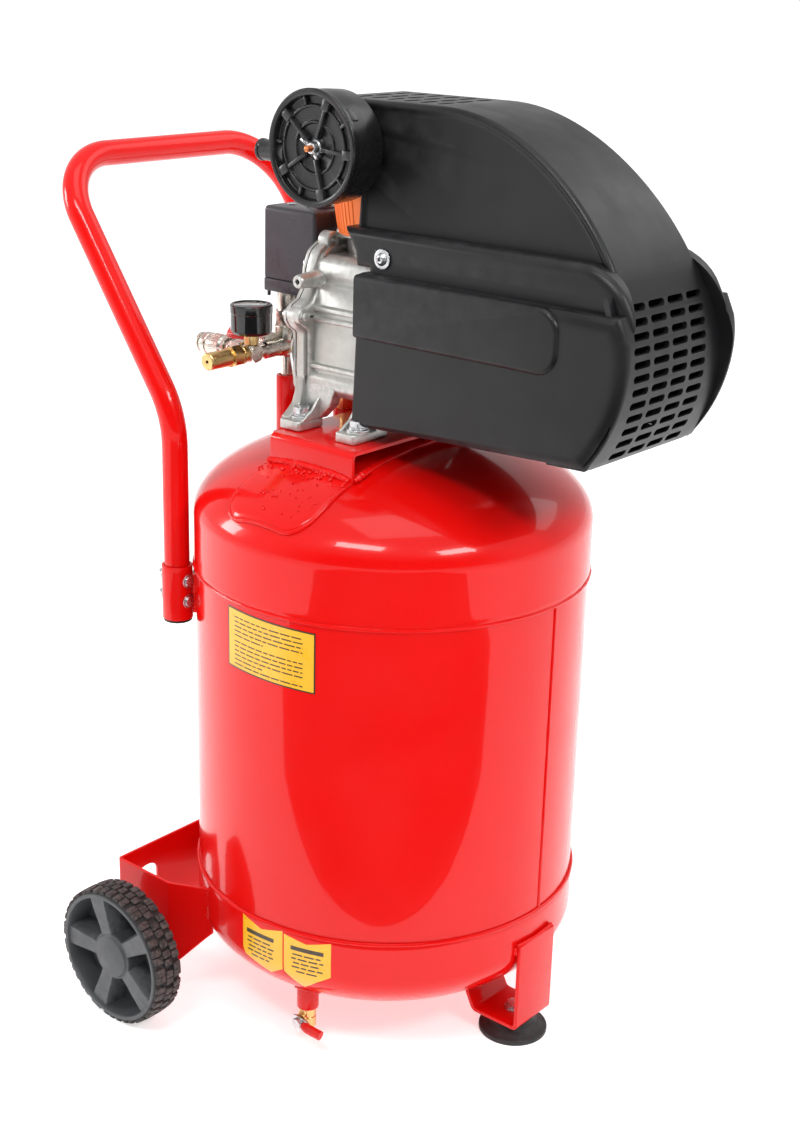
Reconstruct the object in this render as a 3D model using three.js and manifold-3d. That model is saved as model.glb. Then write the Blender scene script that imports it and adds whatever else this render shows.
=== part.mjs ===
// Upright portable air compressor: a 50 litre receiver on two wheels and a foot, with a direct-drive
// pump on top.
// Millimetres, +Z up. X runs from the handle (-X) to the cooling grille (+X), and the filter side is -Y.
// Everything is drawn about the tank's axis; the whole is moved at the end so that the origin is at the
// centre of its base.
import * as THREE from "three";
import { mergeVertices } from "three/addons/utils/BufferGeometryUtils.js";
import Module from "manifold-3d";

const wasm = await Module();
wasm.setup();

// ---- Driving dimensions -----------------------------------------------------------------------------------
const GAP = 0.3; // left between pieces that touch
const WELD_GAP = 0.35; // left between a tank head and what is welded to it

const TANK_RADIUS = 185;
const TANK_WALL = 2.5;
const BARREL_BOTTOM = 131;
const BARREL_TOP = 446;
const HEAD_RADIUS = 186.3;
const HEAD_DEPTH = 76;
const TOP_KNUCKLE = 491;
const BOTTOM_KNUCKLE = 99;
const TANK_SEGMENTS = 40;

const SADDLE = { back: -50, front: 48, half: 114, top: 577, sheet: 3.5, bend: 6 };
const PAD = { back: -52, front: 63, half: 176, corner: 30, sheet: 3 };

const RISER = { x: -115, y: -24, radius: 10.3, bore: 7, top: 604 };
const CHECK_VALVE = { x: -80, y: 20, boss: 12, bore: 7, bossTop: 571 };
const DRAIN = { x: 33, y: -148, boss: 10.5, bore: 4, bossBottom: 37, leverZ: 24 };

const WHEEL = { x: -129.5, z: 68.8, radius: 68.8, face: 253.6, width: 33, rim: 52, hub: 15, bolt: 6 };
const BRACKET = { back: 190.5, side: 187, bottom: 43, top: 127, sheet: 3 };
const FOOT = { x: 167, radius: 33, height: 17.7, half: 27, sheet: 4, top: 110 };

const HANDLE = { x: -145.6, y: 140, tube: 12, wall: 1.5, low: 386, bendZ: 579, topX: -301.5, topZ: 795.5 };
const HANDLE_BEND = 90;
const HANDLE_CORNER = 62;
const SOCKET = { outer: 14.5, low: 383, high: 436, boltZ: [402, 422] };

const CRANK_Z = 668; // crankshaft and motor axis, on y = 0
const THROW = 20; // crank radius, half of the stroke
const ROD_LENGTH = 82;
const BORE = 23.5; // cylinder radius
const CYLINDER_X = -16;
const CASE = { back: -48, front: 30, wall: 8, deck: 742 };
const FLANGE_BACK = -57.9;
const FEET_X = [-42, 25]; // bolt lines of the four pump feet
const FEET_Y = 81;
const HEAD_HALF = 38; // half the side of the cylinder head
const MOTOR = { radius: 58, bore: 32, back: 44, front: 136 };
const SHAFT = 10;

const FILTER = { x: -18, z: 826, radius: 48, back: -58, front: -99 };
const SWITCH = { x0: -131, x1: -66, y0: -40, y1: 5, z0: 684, split: 696, z1: 762 };
const MANIFOLD_Z = 632;
const REGULATOR = { y: -45, z: 636 };
const GAUGE = { y: -71.5, radius: 19.5, bottom: 650, top: 677.5 };

const SHROUD = { wall: 3, lowHalf: 86, midHalf: 72, lowTop: 725, midTop: 760, bottom: 598, back: 24,
  topBack: -40 };
const GRILLE = { rows: 12, pitch: 11, top: 727, columns: 4, span: 28, slot: 22, height: 5.6 };

// ---- Looks ------------------------------------------------------------------------------------------------
const RED = { color: 0xd5120c, roughness: 0.22, metalness: 0 };
const BLACK = { color: 0x26262a, roughness: 0.5, metalness: 0 };
const CAST = { color: 0x9a9b96, roughness: 0.42, metalness: 0.9 };
const STEEL = { color: 0xb9bcc0, roughness: 0.3, metalness: 1 };
const BRASS = { color: 0xc79a3c, roughness: 0.28, metalness: 1 };
const NICKEL = { color: 0xb7b1a4, roughness: 0.25, metalness: 1 };
const RUBBER = { color: 0x1c1d1d, roughness: 0.75, metalness: 0 };
const ORANGE = { color: 0xff4a12, roughness: 0.45, metalness: 0 };
const GREY_PLASTIC = { color: 0x34373a, roughness: 0.55, metalness: 0 };
const IRON = { color: 0x3b3c3e, roughness: 0.6, metalness: 0.8 };
const FOAM = { color: 0xd8d6d0, roughness: 0.95, metalness: 0 };

// ---- Solids -----------------------------------------------------------------------------------------------
// A closed geometry as a manifold solid, facing out whichever way its profile was drawn.
function solid(geometry) {
  const bare = new THREE.BufferGeometry().setAttribute("position", geometry.getAttribute("position"));
  if (geometry.index) bare.setIndex(geometry.index);
  const merged = mergeVertices(bare, 1e-4);
  const index = merged.index.array;
  const triangles = [];
  for (let i = 0; i < index.length; i += 3) {
    const [a, b, c] = [index[i], index[i + 1], index[i + 2]];
    if (a !== b && b !== c && c !== a) triangles.push(a, b, c);
  }
  const build = (order) =>
    new wasm.Manifold(
      new wasm.Mesh({
        numProp: 3,
        vertProperties: merged.attributes.position.array,
        triVerts: Uint32Array.from(order),
      }),
    );
  const made = build(triangles);
  return made.volume() < 0 ? build(triangles.reverse()) : made;
}

function geometryOf(made) {
  const { vertProperties, triVerts } = made.getMesh();
  const geometry = new THREE.BufferGeometry()
    .setAttribute("position", new THREE.BufferAttribute(vertProperties, 3))
    .setIndex(new THREE.BufferAttribute(triVerts, 1))
    .toNonIndexed();
  geometry.computeVertexNormals();
  return geometry;
}

function join(...parts) {
  return parts.reduce((all, part) => all.add(part));
}

function cut(from, ...tools) {
  return tools.reduce((left, tool) => left.subtract(tool), from);
}

function block(x0, x1, y0, y1, z0, z1) {
  const box = new THREE.BoxGeometry(x1 - x0, y1 - y0, z1 - z0);
  return solid(box.translate((x0 + x1) / 2, (y0 + y1) / 2, (z0 + z1) / 2));
}

// A profile of [radius, distance along the axis] turned about an axis ("x", "y" or "z") through a point.
function turned(profile, axis, centre, segments = 20) {
  const points = profile.map(([r, s]) => new THREE.Vector2(r, s));
  if (profile[0][0] > 0) points.push(points[0].clone());
  const lathe = new THREE.LatheGeometry(points, segments);
  if (axis === "x") lathe.rotateZ(-Math.PI / 2);
  if (axis === "z") lathe.rotateX(Math.PI / 2);
  return solid(lathe.translate(...centre));
}

function disc(radius, s0, s1, axis, centre, segments) {
  return turned([[0, s0], [radius, s0], [radius, s1], [0, s1]], axis, centre, segments);
}

function ring(outer, inner, s0, s1, axis, centre, segments) {
  return turned([[inner, s0], [outer, s0], [outer, s1], [inner, s1]], axis, centre, segments);
}

function hexagon(acrossFlats, s0, s1, axis, centre) {
  return disc(acrossFlats / Math.sqrt(3), s0, s1, axis, centre, 6);
}

// A flat outline given depth. Plane "xy" is drawn in X and Y and runs along Z, and so on.
const PLANES = {
  xy: [[1, 0, 0], [0, 1, 0], [0, 0, 1]],
  xz: [[1, 0, 0], [0, 0, 1], [0, -1, 0]],
  yz: [[0, 1, 0], [0, 0, 1], [1, 0, 0]],
};

function plate(outline, plane, s0, s1, curveSegments = 4) {
  const shape = outline instanceof THREE.Shape ? outline : polygon(outline);
  const geometry = new THREE.ExtrudeGeometry(shape, { depth: s1 - s0, bevelEnabled: false, curveSegments });
  const axes = PLANES[plane].map((axis) => new THREE.Vector3(...axis));
  const start = plane === "xz" ? -s1 : s0;
  const basis = new THREE.Matrix4().makeBasis(...axes);
  return solid(geometry.translate(0, 0, start).applyMatrix4(basis));
}

function polygon(points) {
  return new THREE.Shape(points.map(([u, v]) => new THREE.Vector2(u, v)));
}

// A polygon that is the same on both sides of y = 0, from its half on the -Y side.
function mirrored(half) {
  return half.concat(half.filter(([y]) => y !== 0).map(([y, z]) => [-y, z]).reverse());
}

function roundedRect(x0, x1, y0, y1, radius) {
  const shape = new THREE.Shape();
  shape.moveTo(x0 + radius, y0).lineTo(x1 - radius, y0).absarc(x1 - radius, y0 + radius, radius,
    -Math.PI / 2, 0);
  shape.lineTo(x1, y1 - radius).absarc(x1 - radius, y1 - radius, radius, 0, Math.PI / 2);
  shape.lineTo(x0 + radius, y1).absarc(x0 + radius, y1 - radius, radius, Math.PI / 2, Math.PI);
  shape.lineTo(x0, y0 + radius).absarc(x0 + radius, y0 + radius, radius, Math.PI, Math.PI * 1.5);
  return shape;
}

// A run of straight stretches joined by arcs: corners are [point, bend radius].
function bentPath(corners) {
  const path = new THREE.CurvePath();
  let from = corners[0][0].clone();
  for (let i = 1; i < corners.length - 1; i++) {
    const [corner, radius] = corners[i];
    const inward = corners[i - 1][0].clone().sub(corner).normalize();
    const outward = corners[i + 1][0].clone().sub(corner).normalize();
    const half = inward.angleTo(outward) / 2;
    const tangent = radius / Math.tan(half);
    const towards = inward.clone().add(outward).normalize();
    const centre = towards.multiplyScalar(radius / Math.sin(half)).add(corner);
    const start = corner.clone().addScaledVector(inward, tangent);
    const end = corner.clone().addScaledVector(outward, tangent);
    path.add(new THREE.LineCurve3(from, start));
    const arc = [0, 0.25, 0.5, 0.75, 1].map((t) => {
      const spoke = start.clone().lerp(end, t).sub(centre);
      return spoke.setLength(radius).add(centre);
    });
    path.add(new THREE.CatmullRomCurve3(arc));
    from = end;
  }
  path.add(new THREE.LineCurve3(from, corners.at(-1)[0]));
  return path;
}

function pipe(path, outer, inner, sides, steps) {
  const section = new THREE.Shape();
  section.absarc(0, 0, outer, 0, Math.PI * 2);
  const hollow = new THREE.Path();
  hollow.absarc(0, 0, inner, 0, Math.PI * 2, true);
  section.holes.push(hollow);
  const curveSegments = sides;
  const options = { steps, curveSegments, extrudePath: path, bevelEnabled: false };
  return solid(new THREE.ExtrudeGeometry(section, options));
}

const compressor = new THREE.Group();

function add(name, made, look, group = compressor) {
  const mesh = new THREE.Mesh(geometryOf(made), new THREE.MeshStandardMaterial(look));
  mesh.name = name;
  group.add(mesh);
}

// ---- Tank -------------------------------------------------------------------------------------------------
// Half of a tank head's outline, from its knuckle to the axis; side is 1 for the top head and -1 for
// the bottom.
function dome(knuckle, side, extra, steps = 6) {
  return Array.from({ length: steps + 1 }, (_, i) => {
    const turn = (i / steps) * (Math.PI / 2);
    const radius = i === steps ? 0 : (HEAD_RADIUS + extra) * Math.cos(turn);
    return [radius, knuckle + side * (HEAD_DEPTH + extra) * Math.sin(turn)];
  });
}

// The whole space of a head, grown by extra, that trims what is welded to it.
function headBlank(knuckle, side, seam, extra) {
  return turned([[0, seam], [HEAD_RADIUS + extra, seam], ...dome(knuckle, side, extra)], "z", [0, 0, 0],
    TANK_SEGMENTS);
}

const topBlank = (extra) => headBlank(TOP_KNUCKLE, 1, BARREL_TOP, extra);
const bottomBlank = (extra) => headBlank(BOTTOM_KNUCKLE, -1, BARREL_BOTTOM, extra);

// A pressed head: a lip with the weld bead outside the barrel's end, a short skirt and a dished dome.
function head(knuckle, side, seam, lip, ports) {
  const weld = [[2.8, 0], [2.6, 3.5], [HEAD_RADIUS - TANK_RADIUS, 5]];
  const outside = weld.map(([out, up]) => [TANK_RADIUS + out, seam + side * up]);
  const inside = dome(knuckle, side, -TANK_WALL, 3).reverse();
  const shell = turned(
    [
      [TANK_RADIUS + 0.4, seam - side * lip],
      [TANK_RADIUS + 1.4, seam - side * lip],
      ...outside,
      ...dome(knuckle, side, 0),
      ...inside,
      [HEAD_RADIUS - TANK_WALL, seam + side * 0.4],
      [TANK_RADIUS + 0.4, seam + side * 0.4],
    ],
    "z",
    [0, 0, 0],
    TANK_SEGMENTS,
  );
  const depth = HEAD_DEPTH + 40;
  const [from, to] = side > 0 ? [seam, seam + depth] : [knuckle - depth, knuckle];
  return cut(shell, ...ports.map(({ x, y, bore }) => disc(bore, from, to, "z", [x, y, 0], 12)));
}

function addTank(group) {
  const barrel = ring(TANK_RADIUS, TANK_RADIUS - TANK_WALL, BARREL_BOTTOM, BARREL_TOP, "z", [0, 0, 0],
    TANK_SEGMENTS);
  add("tank_barrel", barrel, RED, group);
  add("tank_top_head", head(TOP_KNUCKLE, 1, BARREL_TOP, 6, [RISER, CHECK_VALVE]), RED, group);
  add("tank_bottom_head", head(BOTTOM_KNUCKLE, -1, BARREL_BOTTOM, 5, [DRAIN]), RED, group);
}

// Pipe stubs and bosses stand upright on the heads, with their ends cut to the dome.
function addTankPorts(group) {
  const upper = (port, radius, top) =>
    cut(ring(radius, port.bore, 520, top, "z", [port.x, port.y, 0], 16), topBlank(WELD_GAP));
  add("riser_pipe", upper(RISER, RISER.radius, RISER.top), RED, group);
  add("check_valve_boss", upper(CHECK_VALVE, CHECK_VALVE.boss, CHECK_VALVE.bossTop), RED, group);
  const drain = ring(DRAIN.boss, DRAIN.bore, DRAIN.bossBottom, 75, "z", [DRAIN.x, DRAIN.y, 0], 16);
  add("drain_boss", cut(drain, bottomBlank(WELD_GAP)), RED, group);
}

// The pump stands on an inverted channel of folded sheet, welded over a doubler pad on the dome.
function addSaddle(group) {
  const { back, front, half, top, sheet, bend } = SADDLE;
  const low = 500;
  const outer = roundedRect(-half, half, low - 40, top, bend);
  const inner = roundedRect(sheet - half, half - sheet, low - 60, top - sheet, bend - sheet);
  const channel = plate(outer, "yz", back, front).subtract(plate(inner, "yz", back - 1, front + 1));
  const holes = FEET_X.flatMap((x) => [-1, 1].map((side) => disc(4.4, top - 10, top + 5, "z",
    [x, side * FEET_Y, 0], 12)));
  const floor = block(-80, 80, -half - 1, half + 1, low - 60, low);
  add("pump_saddle", cut(channel, floor, topBlank(PAD.sheet + 2 * WELD_GAP), ...holes), RED, group);

  const footprint = plate(roundedRect(PAD.back, PAD.front, -PAD.half, PAD.half, PAD.corner), "xy", low, top);
  const pad = footprint.intersect(topBlank(WELD_GAP + PAD.sheet)).subtract(topBlank(WELD_GAP));
  add("saddle_pad", pad, RED, group);
}

// ---- Chassis ----------------------------------------------------------------------------------------------
// One folded sheet round the back of the tank that carries both wheels, with a slot each side in its back
// wall.
function addWheelBracket(group) {
  const { back, side, bottom, top, sheet } = BRACKET;
  const near = [[-76, -168], [-116, -side], [-back, -side]];
  const nearInside = [[-back + sheet, -side + sheet], [-116.6, -side + sheet], [-77, -165]];
  const flip = (points) => points.map(([x, y]) => [x, -y]).reverse();
  const outline = [...near, ...flip(near), ...flip(nearInside), ...nearInside];
  const sheetMetal = plate(outline, "xy", bottom, top);
  const chamfer = plate([[-60, 20], [-60, 96], [-84, 70], [-108, bottom - 1], [-108, 20]], "xz", -220, 220);
  const slots = [-1, 1].map((s) => {
    const y = s * 150;
    return plate(roundedRect(y - 14, y + 14, 60, 105, 13), "yz", -back - 5, -back + 10);
  });
  const axleHole = disc(WHEEL.bolt + 0.3, -220, 220, "y", [WHEEL.x, 0, WHEEL.z], 16);
  const bead = disc(TANK_RADIUS + 3.2, 120, 140, "z", [0, 0, 0], TANK_SEGMENTS);
  add("wheel_bracket", cut(sheetMetal, bottomBlank(WELD_GAP), bead, chamfer, ...slots, axleHole), RED, group);
}

function addWheels(group) {
  for (const [name, side] of [["near", -1], ["far", 1]]) {
    const wheel = new THREE.Group();
    wheel.position.set(WHEEL.x, 0, WHEEL.z);
    group.add(wheel);
    const face = side * WHEEL.face;
    const back = side * (WHEEL.face - WHEEL.width);
    const inner = side * (BRACKET.side + 3);
    const tread = [[WHEEL.rim + GAP, face], [61, face], [66, face - side * 1.5],
      [WHEEL.radius, face - side * 5],
      [WHEEL.radius, back + side * 5], [66, back + side * 1.5], [61, back], [WHEEL.rim + GAP, back]];
    add("tyre_" + name, turned(tread, "y", [0, 0, 0], 28), RUBBER, wheel);

    const rim = ring(WHEEL.rim, 46, back, face, "y", [0, 0, 0], 28);
    const boss = turned([[0, face + side * 1.5], [6, face + side], [WHEEL.hub, face - side * 2],
      [WHEEL.hub, inner], [0, inner]],
      "y", [0, 0, 0], 16);
    const spokes = Array.from({ length: 5 }, (_, i) => {
      const spoke = new THREE.BoxGeometry(40, 14, 18).translate(29, face - side * 10, 0);
      return solid(spoke.rotateY((i / 5) * Math.PI * 2 + Math.PI / 2));
    });
    const bore = disc(WHEEL.bolt + 0.4, inner - side, face - side * 6, "y", [0, 0, 0], 16);
    add("wheel_hub_" + name, join(rim, boss, ...spokes).subtract(bore), GREY_PLASTIC, wheel);

    const shank = disc(WHEEL.bolt, side * (BRACKET.side - 12), face - side * 8, "y", [0, 0, 0], 16);
    const nut = hexagon(18, side * (BRACKET.side - 10), side * (BRACKET.side - BRACKET.sheet - GAP), "y",
      [0, 0, 0]);
    add("axle_bolt_" + name, join(shank, nut), STEEL, wheel);
  }
}

// The single front foot: a strip folded into a foot under the bottom dome, with a rubber pad bolted to it.
function addFoot(group) {
  const { x, radius, height, half, sheet, top } = FOOT;
  const front = HEAD_RADIUS + 4.2;
  const base = height + GAP;
  const outside = [[front, top], [front, base], [137, base], [118, 56]];
  const inside = [[122, 57.6], [139.6, base + sheet], [front - sheet, base + sheet], [front - sheet, top]];
  const strip = plate([...outside, ...inside], "xz", -half, half);
  const hole = disc(4.4, base - 2, base + sheet + 2, "z", [x, 0, 0], 12);
  add("foot_bracket", cut(strip, bottomBlank(WELD_GAP), hole), RED, group);

  const flare = [[4.4, 3], [19, 3], [21, 0], [radius, 0], [radius, 5], [27, 7.5], [21, 12], [18, height],
    [4.4, height]];
  add("rubber_foot", turned(flare, "z", [x, 0, 0], 26), RUBBER, group);
  const shank = disc(4, 8, base + sheet + 4, "z", [x, 0, 0], 12);
  const bolt = hexagon(13, base + sheet + GAP, base + sheet + 6, "z", [x, 0, 0]);
  add("foot_bolt", join(shank, bolt), STEEL, group);
}

// ---- Handle -----------------------------------------------------------------------------------------------
function addHandle(group) {
  const leg = (side) => [
    [new THREE.Vector3(HANDLE.x, side * HANDLE.y, HANDLE.low), 0],
    [new THREE.Vector3(HANDLE.x, side * HANDLE.y, HANDLE.bendZ), HANDLE_BEND],
    [new THREE.Vector3(HANDLE.topX, side * HANDLE.y, HANDLE.topZ), HANDLE_CORNER],
  ];
  const path = bentPath([...leg(-1), ...leg(1).reverse()]);
  const boltHoles = [-1, 1].flatMap((side) =>
    SOCKET.boltZ.map((z) => disc(3.4, HANDLE.x - 20, HANDLE.x + 20, "x", [0, side * HANDLE.y, z], 8)));
  add("handle_tube", cut(pipe(path, HANDLE.tube, HANDLE.tube - HANDLE.wall, 5, 34), ...boltHoles),
    RED, group);

  for (const [name, side] of [["near", -1], ["far", 1]]) {
    const y = side * HANDLE.y;
    const toAxis = Math.atan2(-y, -HANDLE.x);
    const web = new THREE.BoxGeometry(24, 12, 33).translate(16, 0, 0);
    web.rotateZ(toAxis).translate(HANDLE.x, y, 407.5);
    const tankSpace = disc(TANK_RADIUS + WELD_GAP, BARREL_BOTTOM, BARREL_TOP, "z", [0, 0, 0], TANK_SEGMENTS);
    const bore = disc(HANDLE.tube + GAP, SOCKET.low - 1, SOCKET.high + 1, "z", [HANDLE.x, y, 0], 18);
    const sleeve = disc(SOCKET.outer, SOCKET.low, SOCKET.high, "z", [HANDLE.x, y, 0], 18);
    const holes = SOCKET.boltZ.map((z) => disc(3.4, HANDLE.x - 20, HANDLE.x + 15, "x", [0, y, z], 8));
    add("handle_socket_" + name, cut(join(sleeve, solid(web)), tankSpace, bore, ...holes), RED, group);

    for (const [index, z] of SOCKET.boltZ.entries()) {
      const outer = SOCKET.outer + 0.4;
      const shank = disc(3, HANDLE.x - outer - 9, HANDLE.x + outer + 1, "x", [0, y, z], 10);
      const head = hexagon(10, HANDLE.x + outer, HANDLE.x + outer + 4, "x", [0, y, z]);
      const nut = hexagon(10, HANDLE.x - outer - 6, HANDLE.x - outer, "x", [0, y, z]);
      add("handle_bolt_" + name + "_" + (index + 1), join(shank, head, nut), STEEL, group);
    }
  }
}

// ---- Pump -------------------------------------------------------------------------------------------------
const CASE_SIDE = [[0, 604], [-60, 604], [-68, 612], [-68, 672], [-60, 700], [-50, 728], [-42, CASE.deck],
  [0, CASE.deck]];
const CASE_HOLLOW = [[0, 612], [-55, 612], [-61, 618], [-61, 671], [-53, 698], [-44, 724], [-38, 735],
  [0, 735]];
const FLANGE_SIDE = [[0, 602], [-52, 602], [-69, 612], [-80, 626], [-84, 641], [-80, 660], [-78, 676],
  [-68, 695],
  [-65, 707], [-57, 724], [-45, 736], [-28, 741.6], [0, 741.6]];
const COVER_BULGE = [[0, 612], [-52, 614], [-62, 626], [-64, 645], [-58, 670], [-46, 680], [0, 681]];

// Four cast feet: a pad under each, a flat leg in line with the end flange and a web beside it.
function crankcaseFeet() {
  const pads = FEET_X.map((x) => block(x - 14, x + 14, -97, -64, SADDLE.top + GAP, 586));
  const legs = [[FLANGE_BACK, CASE.back], [27, 38]].map(([x0, x1]) =>
    plate([[-95, 585], [-86, 591], [-77, 596], [-75, 606], [-72, 622], [-40, 622], [-52, 600], [-64, 585]],
      "yz", x0, x1));
  const webs = [[CASE.back - 1, -32], [12, 23.4]].map(([x0, x1]) =>
    plate([[-90, 585], [-74, 606], [-70, 616], [-60, 616], [-68, 600], [-82, 585]], "yz", x0, x1));
  const near = join(...pads, ...legs, ...webs);
  return join(near, near.mirror([0, 1, 0]));
}

function addCrankcase(group) {
  const body = plate(mirrored(CASE_SIDE), "yz", CASE.back - 1, CASE.front);
  const flange = plate(mirrored(FLANGE_SIDE), "yz", FLANGE_BACK, CASE.back);
  const ribs = [626, 678].flatMap((z) => [-1, 1].map((s) =>
    block(CASE.back - 1, CASE.front, s < 0 ? -70.5 : 60, s < 0 ? -60 : 70.5, z - 3, z + 3)));
  const boss = disc(5.5, -84, -52, "y", [-46, 0, 708], 12);
  const ear = disc(7, FLANGE_BACK, CASE.back + 4, "x", [0, -78, 677], 14);
  const adaptor = ring(MOTOR.radius, MOTOR.radius - 5, CASE.front - 1, MOTOR.back - GAP, "x",
    [0, 0, CRANK_Z], 18);
  const hollow = plate(mirrored(CASE_HOLLOW), "yz", FLANGE_BACK - 2, CASE.front - CASE.wall);
  const cylinderMouth = disc(25, CASE.deck - 12, CASE.deck + 2, "z", [CYLINDER_X, 0, 0], 18);
  const bearing = disc(SHAFT + 0.4, CASE.front - 12, CASE.front + 2, "x", [0, 0, CRANK_Z], 16);
  const bossHole = disc(2.5, -86, -70, "y", [-46, 0, 708], 8);
  const bolts = FEET_X.flatMap((x) => [-1, 1].map((s) => disc(4.4, 570, 590, "z", [x, s * FEET_Y, 0], 12)));
  const flats = FEET_X.flatMap((x) => [-1, 1].map((s) => disc(9.5, 585.9, 600, "z", [x, s * FEET_Y, 0], 12)));
  const cast = join(body, flange, ...ribs, boss, ear, adaptor, crankcaseFeet());
  add("crankcase", cut(cast, hollow, cylinderMouth, bearing, bossHole, ...bolts, ...flats), CAST, group);

  const lid = plate(mirrored(FLANGE_SIDE), "yz", FLANGE_BACK - GAP - 4, FLANGE_BACK - GAP);
  const bulge = plate(mirrored(COVER_BULGE), "yz", FLANGE_BACK - GAP - 10, FLANGE_BACK - GAP - 3);
  add("crankcase_cover", join(lid, bulge), CAST, group);

  for (const [index, x] of FEET_X.entries()) {
    const shank = disc(4, SADDLE.top - SADDLE.sheet, 590, "z", [x, -FEET_Y, 0], 10);
    const head = hexagon(13, 588, 594, "z", [x, -FEET_Y, 0]);
    const washer = disc(8.5, 586 + GAP, 588.2, "z", [x, -FEET_Y, 0], 16);
    add("pump_bolt_" + (index + 1), join(shank, head, washer), STEEL, group);
  }
}

function addCylinder(group) {
  const axis = [CYLINDER_X, 0, 0];
  const base = CASE.deck + GAP;
  const fins = [757, 766, 775, 784].map((z, i) => ring(37 + i, 28, z, z + 3, "z", axis, 16));
  const barrel = ring(30, BORE, base, 795, "z", axis, 24);
  const flanges = [ring(36, 28, base, base + 7, "z", axis, 16), ring(41, 28, 790, 795, "z", axis, 16)];
  add("cylinder", join(barrel, ...fins, ...flanges), CAST, group);

  const x0 = CYLINDER_X - HEAD_HALF;
  const x1 = CYLINDER_X + HEAD_HALF;
  const square = roundedRect(x0, x1, -HEAD_HALF, HEAD_HALF, 7);
  const ports = [-1, 1].map((s) => disc(5, 790, 802, "z", [CYLINDER_X, s * 11, 0], 12));
  add("valve_plate", cut(plate(square, "xy", 795 + GAP, 799, 3), ...ports), STEEL, group);
  const grooves = [-24, -12, 0, 12, 24].map((dx) =>
    block(CYLINDER_X + dx - 3.5, CYLINDER_X + dx + 3.5, -HEAD_HALF - 1, HEAD_HALF + 1, 838, 850));
  const chambers = [-1, 1].map((s) => {
    const y = s * 17;
    return block(CYLINDER_X - 24, CYLINDER_X + 24, y - 13, y + 13, 790, 830);
  });
  const intake = disc(9, -HEAD_HALF - 1, -25, "y", [FILTER.x, 0, 818], 16);
  const outlet = disc(4.5, x0 - 1, x0 + 20, "x", [0, 20, 818], 12);
  const casting = plate(square, "xy", 799 + GAP, 846, 3);
  add("cylinder_head", cut(casting, ...grooves, ...chambers, intake, outlet), CAST, group);
}

function addCrankTrain(group) {
  const pinZ = CRANK_Z + THROW;
  const wristZ = pinZ + ROD_LENGTH;
  const rodX = [CYLINDER_X - 6, CYLINDER_X + 6];
  const shaft = disc(SHAFT, -1, 204, "x", [0, 0, CRANK_Z], 16);
  const web = disc(19, -6, 0, "x", [0, 0, pinZ - 4], 16);
  const counterweight = plate([[-24, CRANK_Z - 4], [-20, CRANK_Z - 22], [0, CRANK_Z - 30],
    [20, CRANK_Z - 22], [24, CRANK_Z - 4]],
    "yz", -6, 0);
  const pin = disc(8, rodX[1] + 0.4, -5, "x", [0, 0, pinZ], 16);
  add("crankshaft", join(shaft, web, counterweight, pin), STEEL, group);

  const rod = join(
    disc(15, rodX[0], rodX[1], "x", [0, 0, pinZ], 16),
    disc(9, rodX[0], rodX[1], "x", [0, 0, wristZ], 16),
    block(rodX[0] + 2, rodX[1] - 2, -6, 6, pinZ, wristZ),
  );
  const eyes = [
    disc(8.4, rodX[0] - 1, rodX[1] + 1, "x", [0, 0, pinZ], 16),
    disc(4.9, rodX[0] - 1, rodX[1] + 1, "x", [0, 0, wristZ], 12),
  ];
  add("connecting_rod", cut(rod, ...eyes), CAST, group);

  const crown = wristZ + 23;
  const skirt = turned([[0, crown], [BORE - GAP, crown], [BORE - GAP, wristZ - 10], [19, wristZ - 10],
    [19, crown - 6], [0, crown - 6]],
    "z", [CYLINDER_X, 0, 0], 24);
  const wristPin = disc(4.5, CYLINDER_X - 21, CYLINDER_X + 21, "x", [0, 0, wristZ], 12);
  add("piston", join(skirt, wristPin), CAST, group);
}

// ---- Motor ------------------------------------------------------------------------------------------------
function addMotor(group) {
  const axis = [0, 0, CRANK_Z];
  const { radius, bore, back, front } = MOTOR;
  const windings = [ring(50, bore + 3, back - 8, back + 1, "x", axis, 18),
    ring(50, bore + 3, front - 1, front + 9, "x", axis, 18)];
  add("motor_stator", join(ring(radius, bore, back, front, "x", axis, 18), ...windings), IRON, group);
  add("motor_rotor", ring(bore - 0.6, SHAFT + GAP, back + 4, front - 4, "x", axis, 18), IRON, group);
  const bell = join(
    ring(radius, radius - 5, front + GAP, 153, "x", axis, 18),
    ring(radius, SHAFT + 0.4, 152, 159, "x", axis, 18),
  );
  add("motor_end_bell", bell, CAST, group);

  const hub = disc(17, 174, 200, "x", axis, 16);
  const blades = Array.from({ length: 7 }, (_, i) => {
    const blade = new THREE.BoxGeometry(26, 2.6, 48).rotateZ(0.6).translate(187, 0, 38);
    return solid(blade.rotateX((i / 7) * Math.PI * 2).translate(0, 0, CRANK_Z));
  });
  const fan = join(hub, ...blades).subtract(disc(SHAFT + GAP, 170, 210, "x", axis, 16));
  add("cooling_fan", fan, BLACK, group);
}

// ---- Shroud -----------------------------------------------------------------------------------------------
// The front and top of the shroud's middle, drawn up from the bottom and back over the cylinder head;
// moved by (dx, dz) it gives its own inside.
function shroudFront(shape, dx, dz, low, back) {
  shape.lineTo(262 + dx, low).lineTo(265 + dx, 600 + dz);
  shape.bezierCurveTo(292 + dx, 640 + dz, 294 + dx, 695 + dz, 270 + dx, 746 + dz);
  shape.bezierCurveTo(236 + dx, 808 + dz, 160 + dx, 866 + dz, 82 + dx, 865.5 + dz);
  return shape.lineTo(back, 865 + dz);
}

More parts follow.
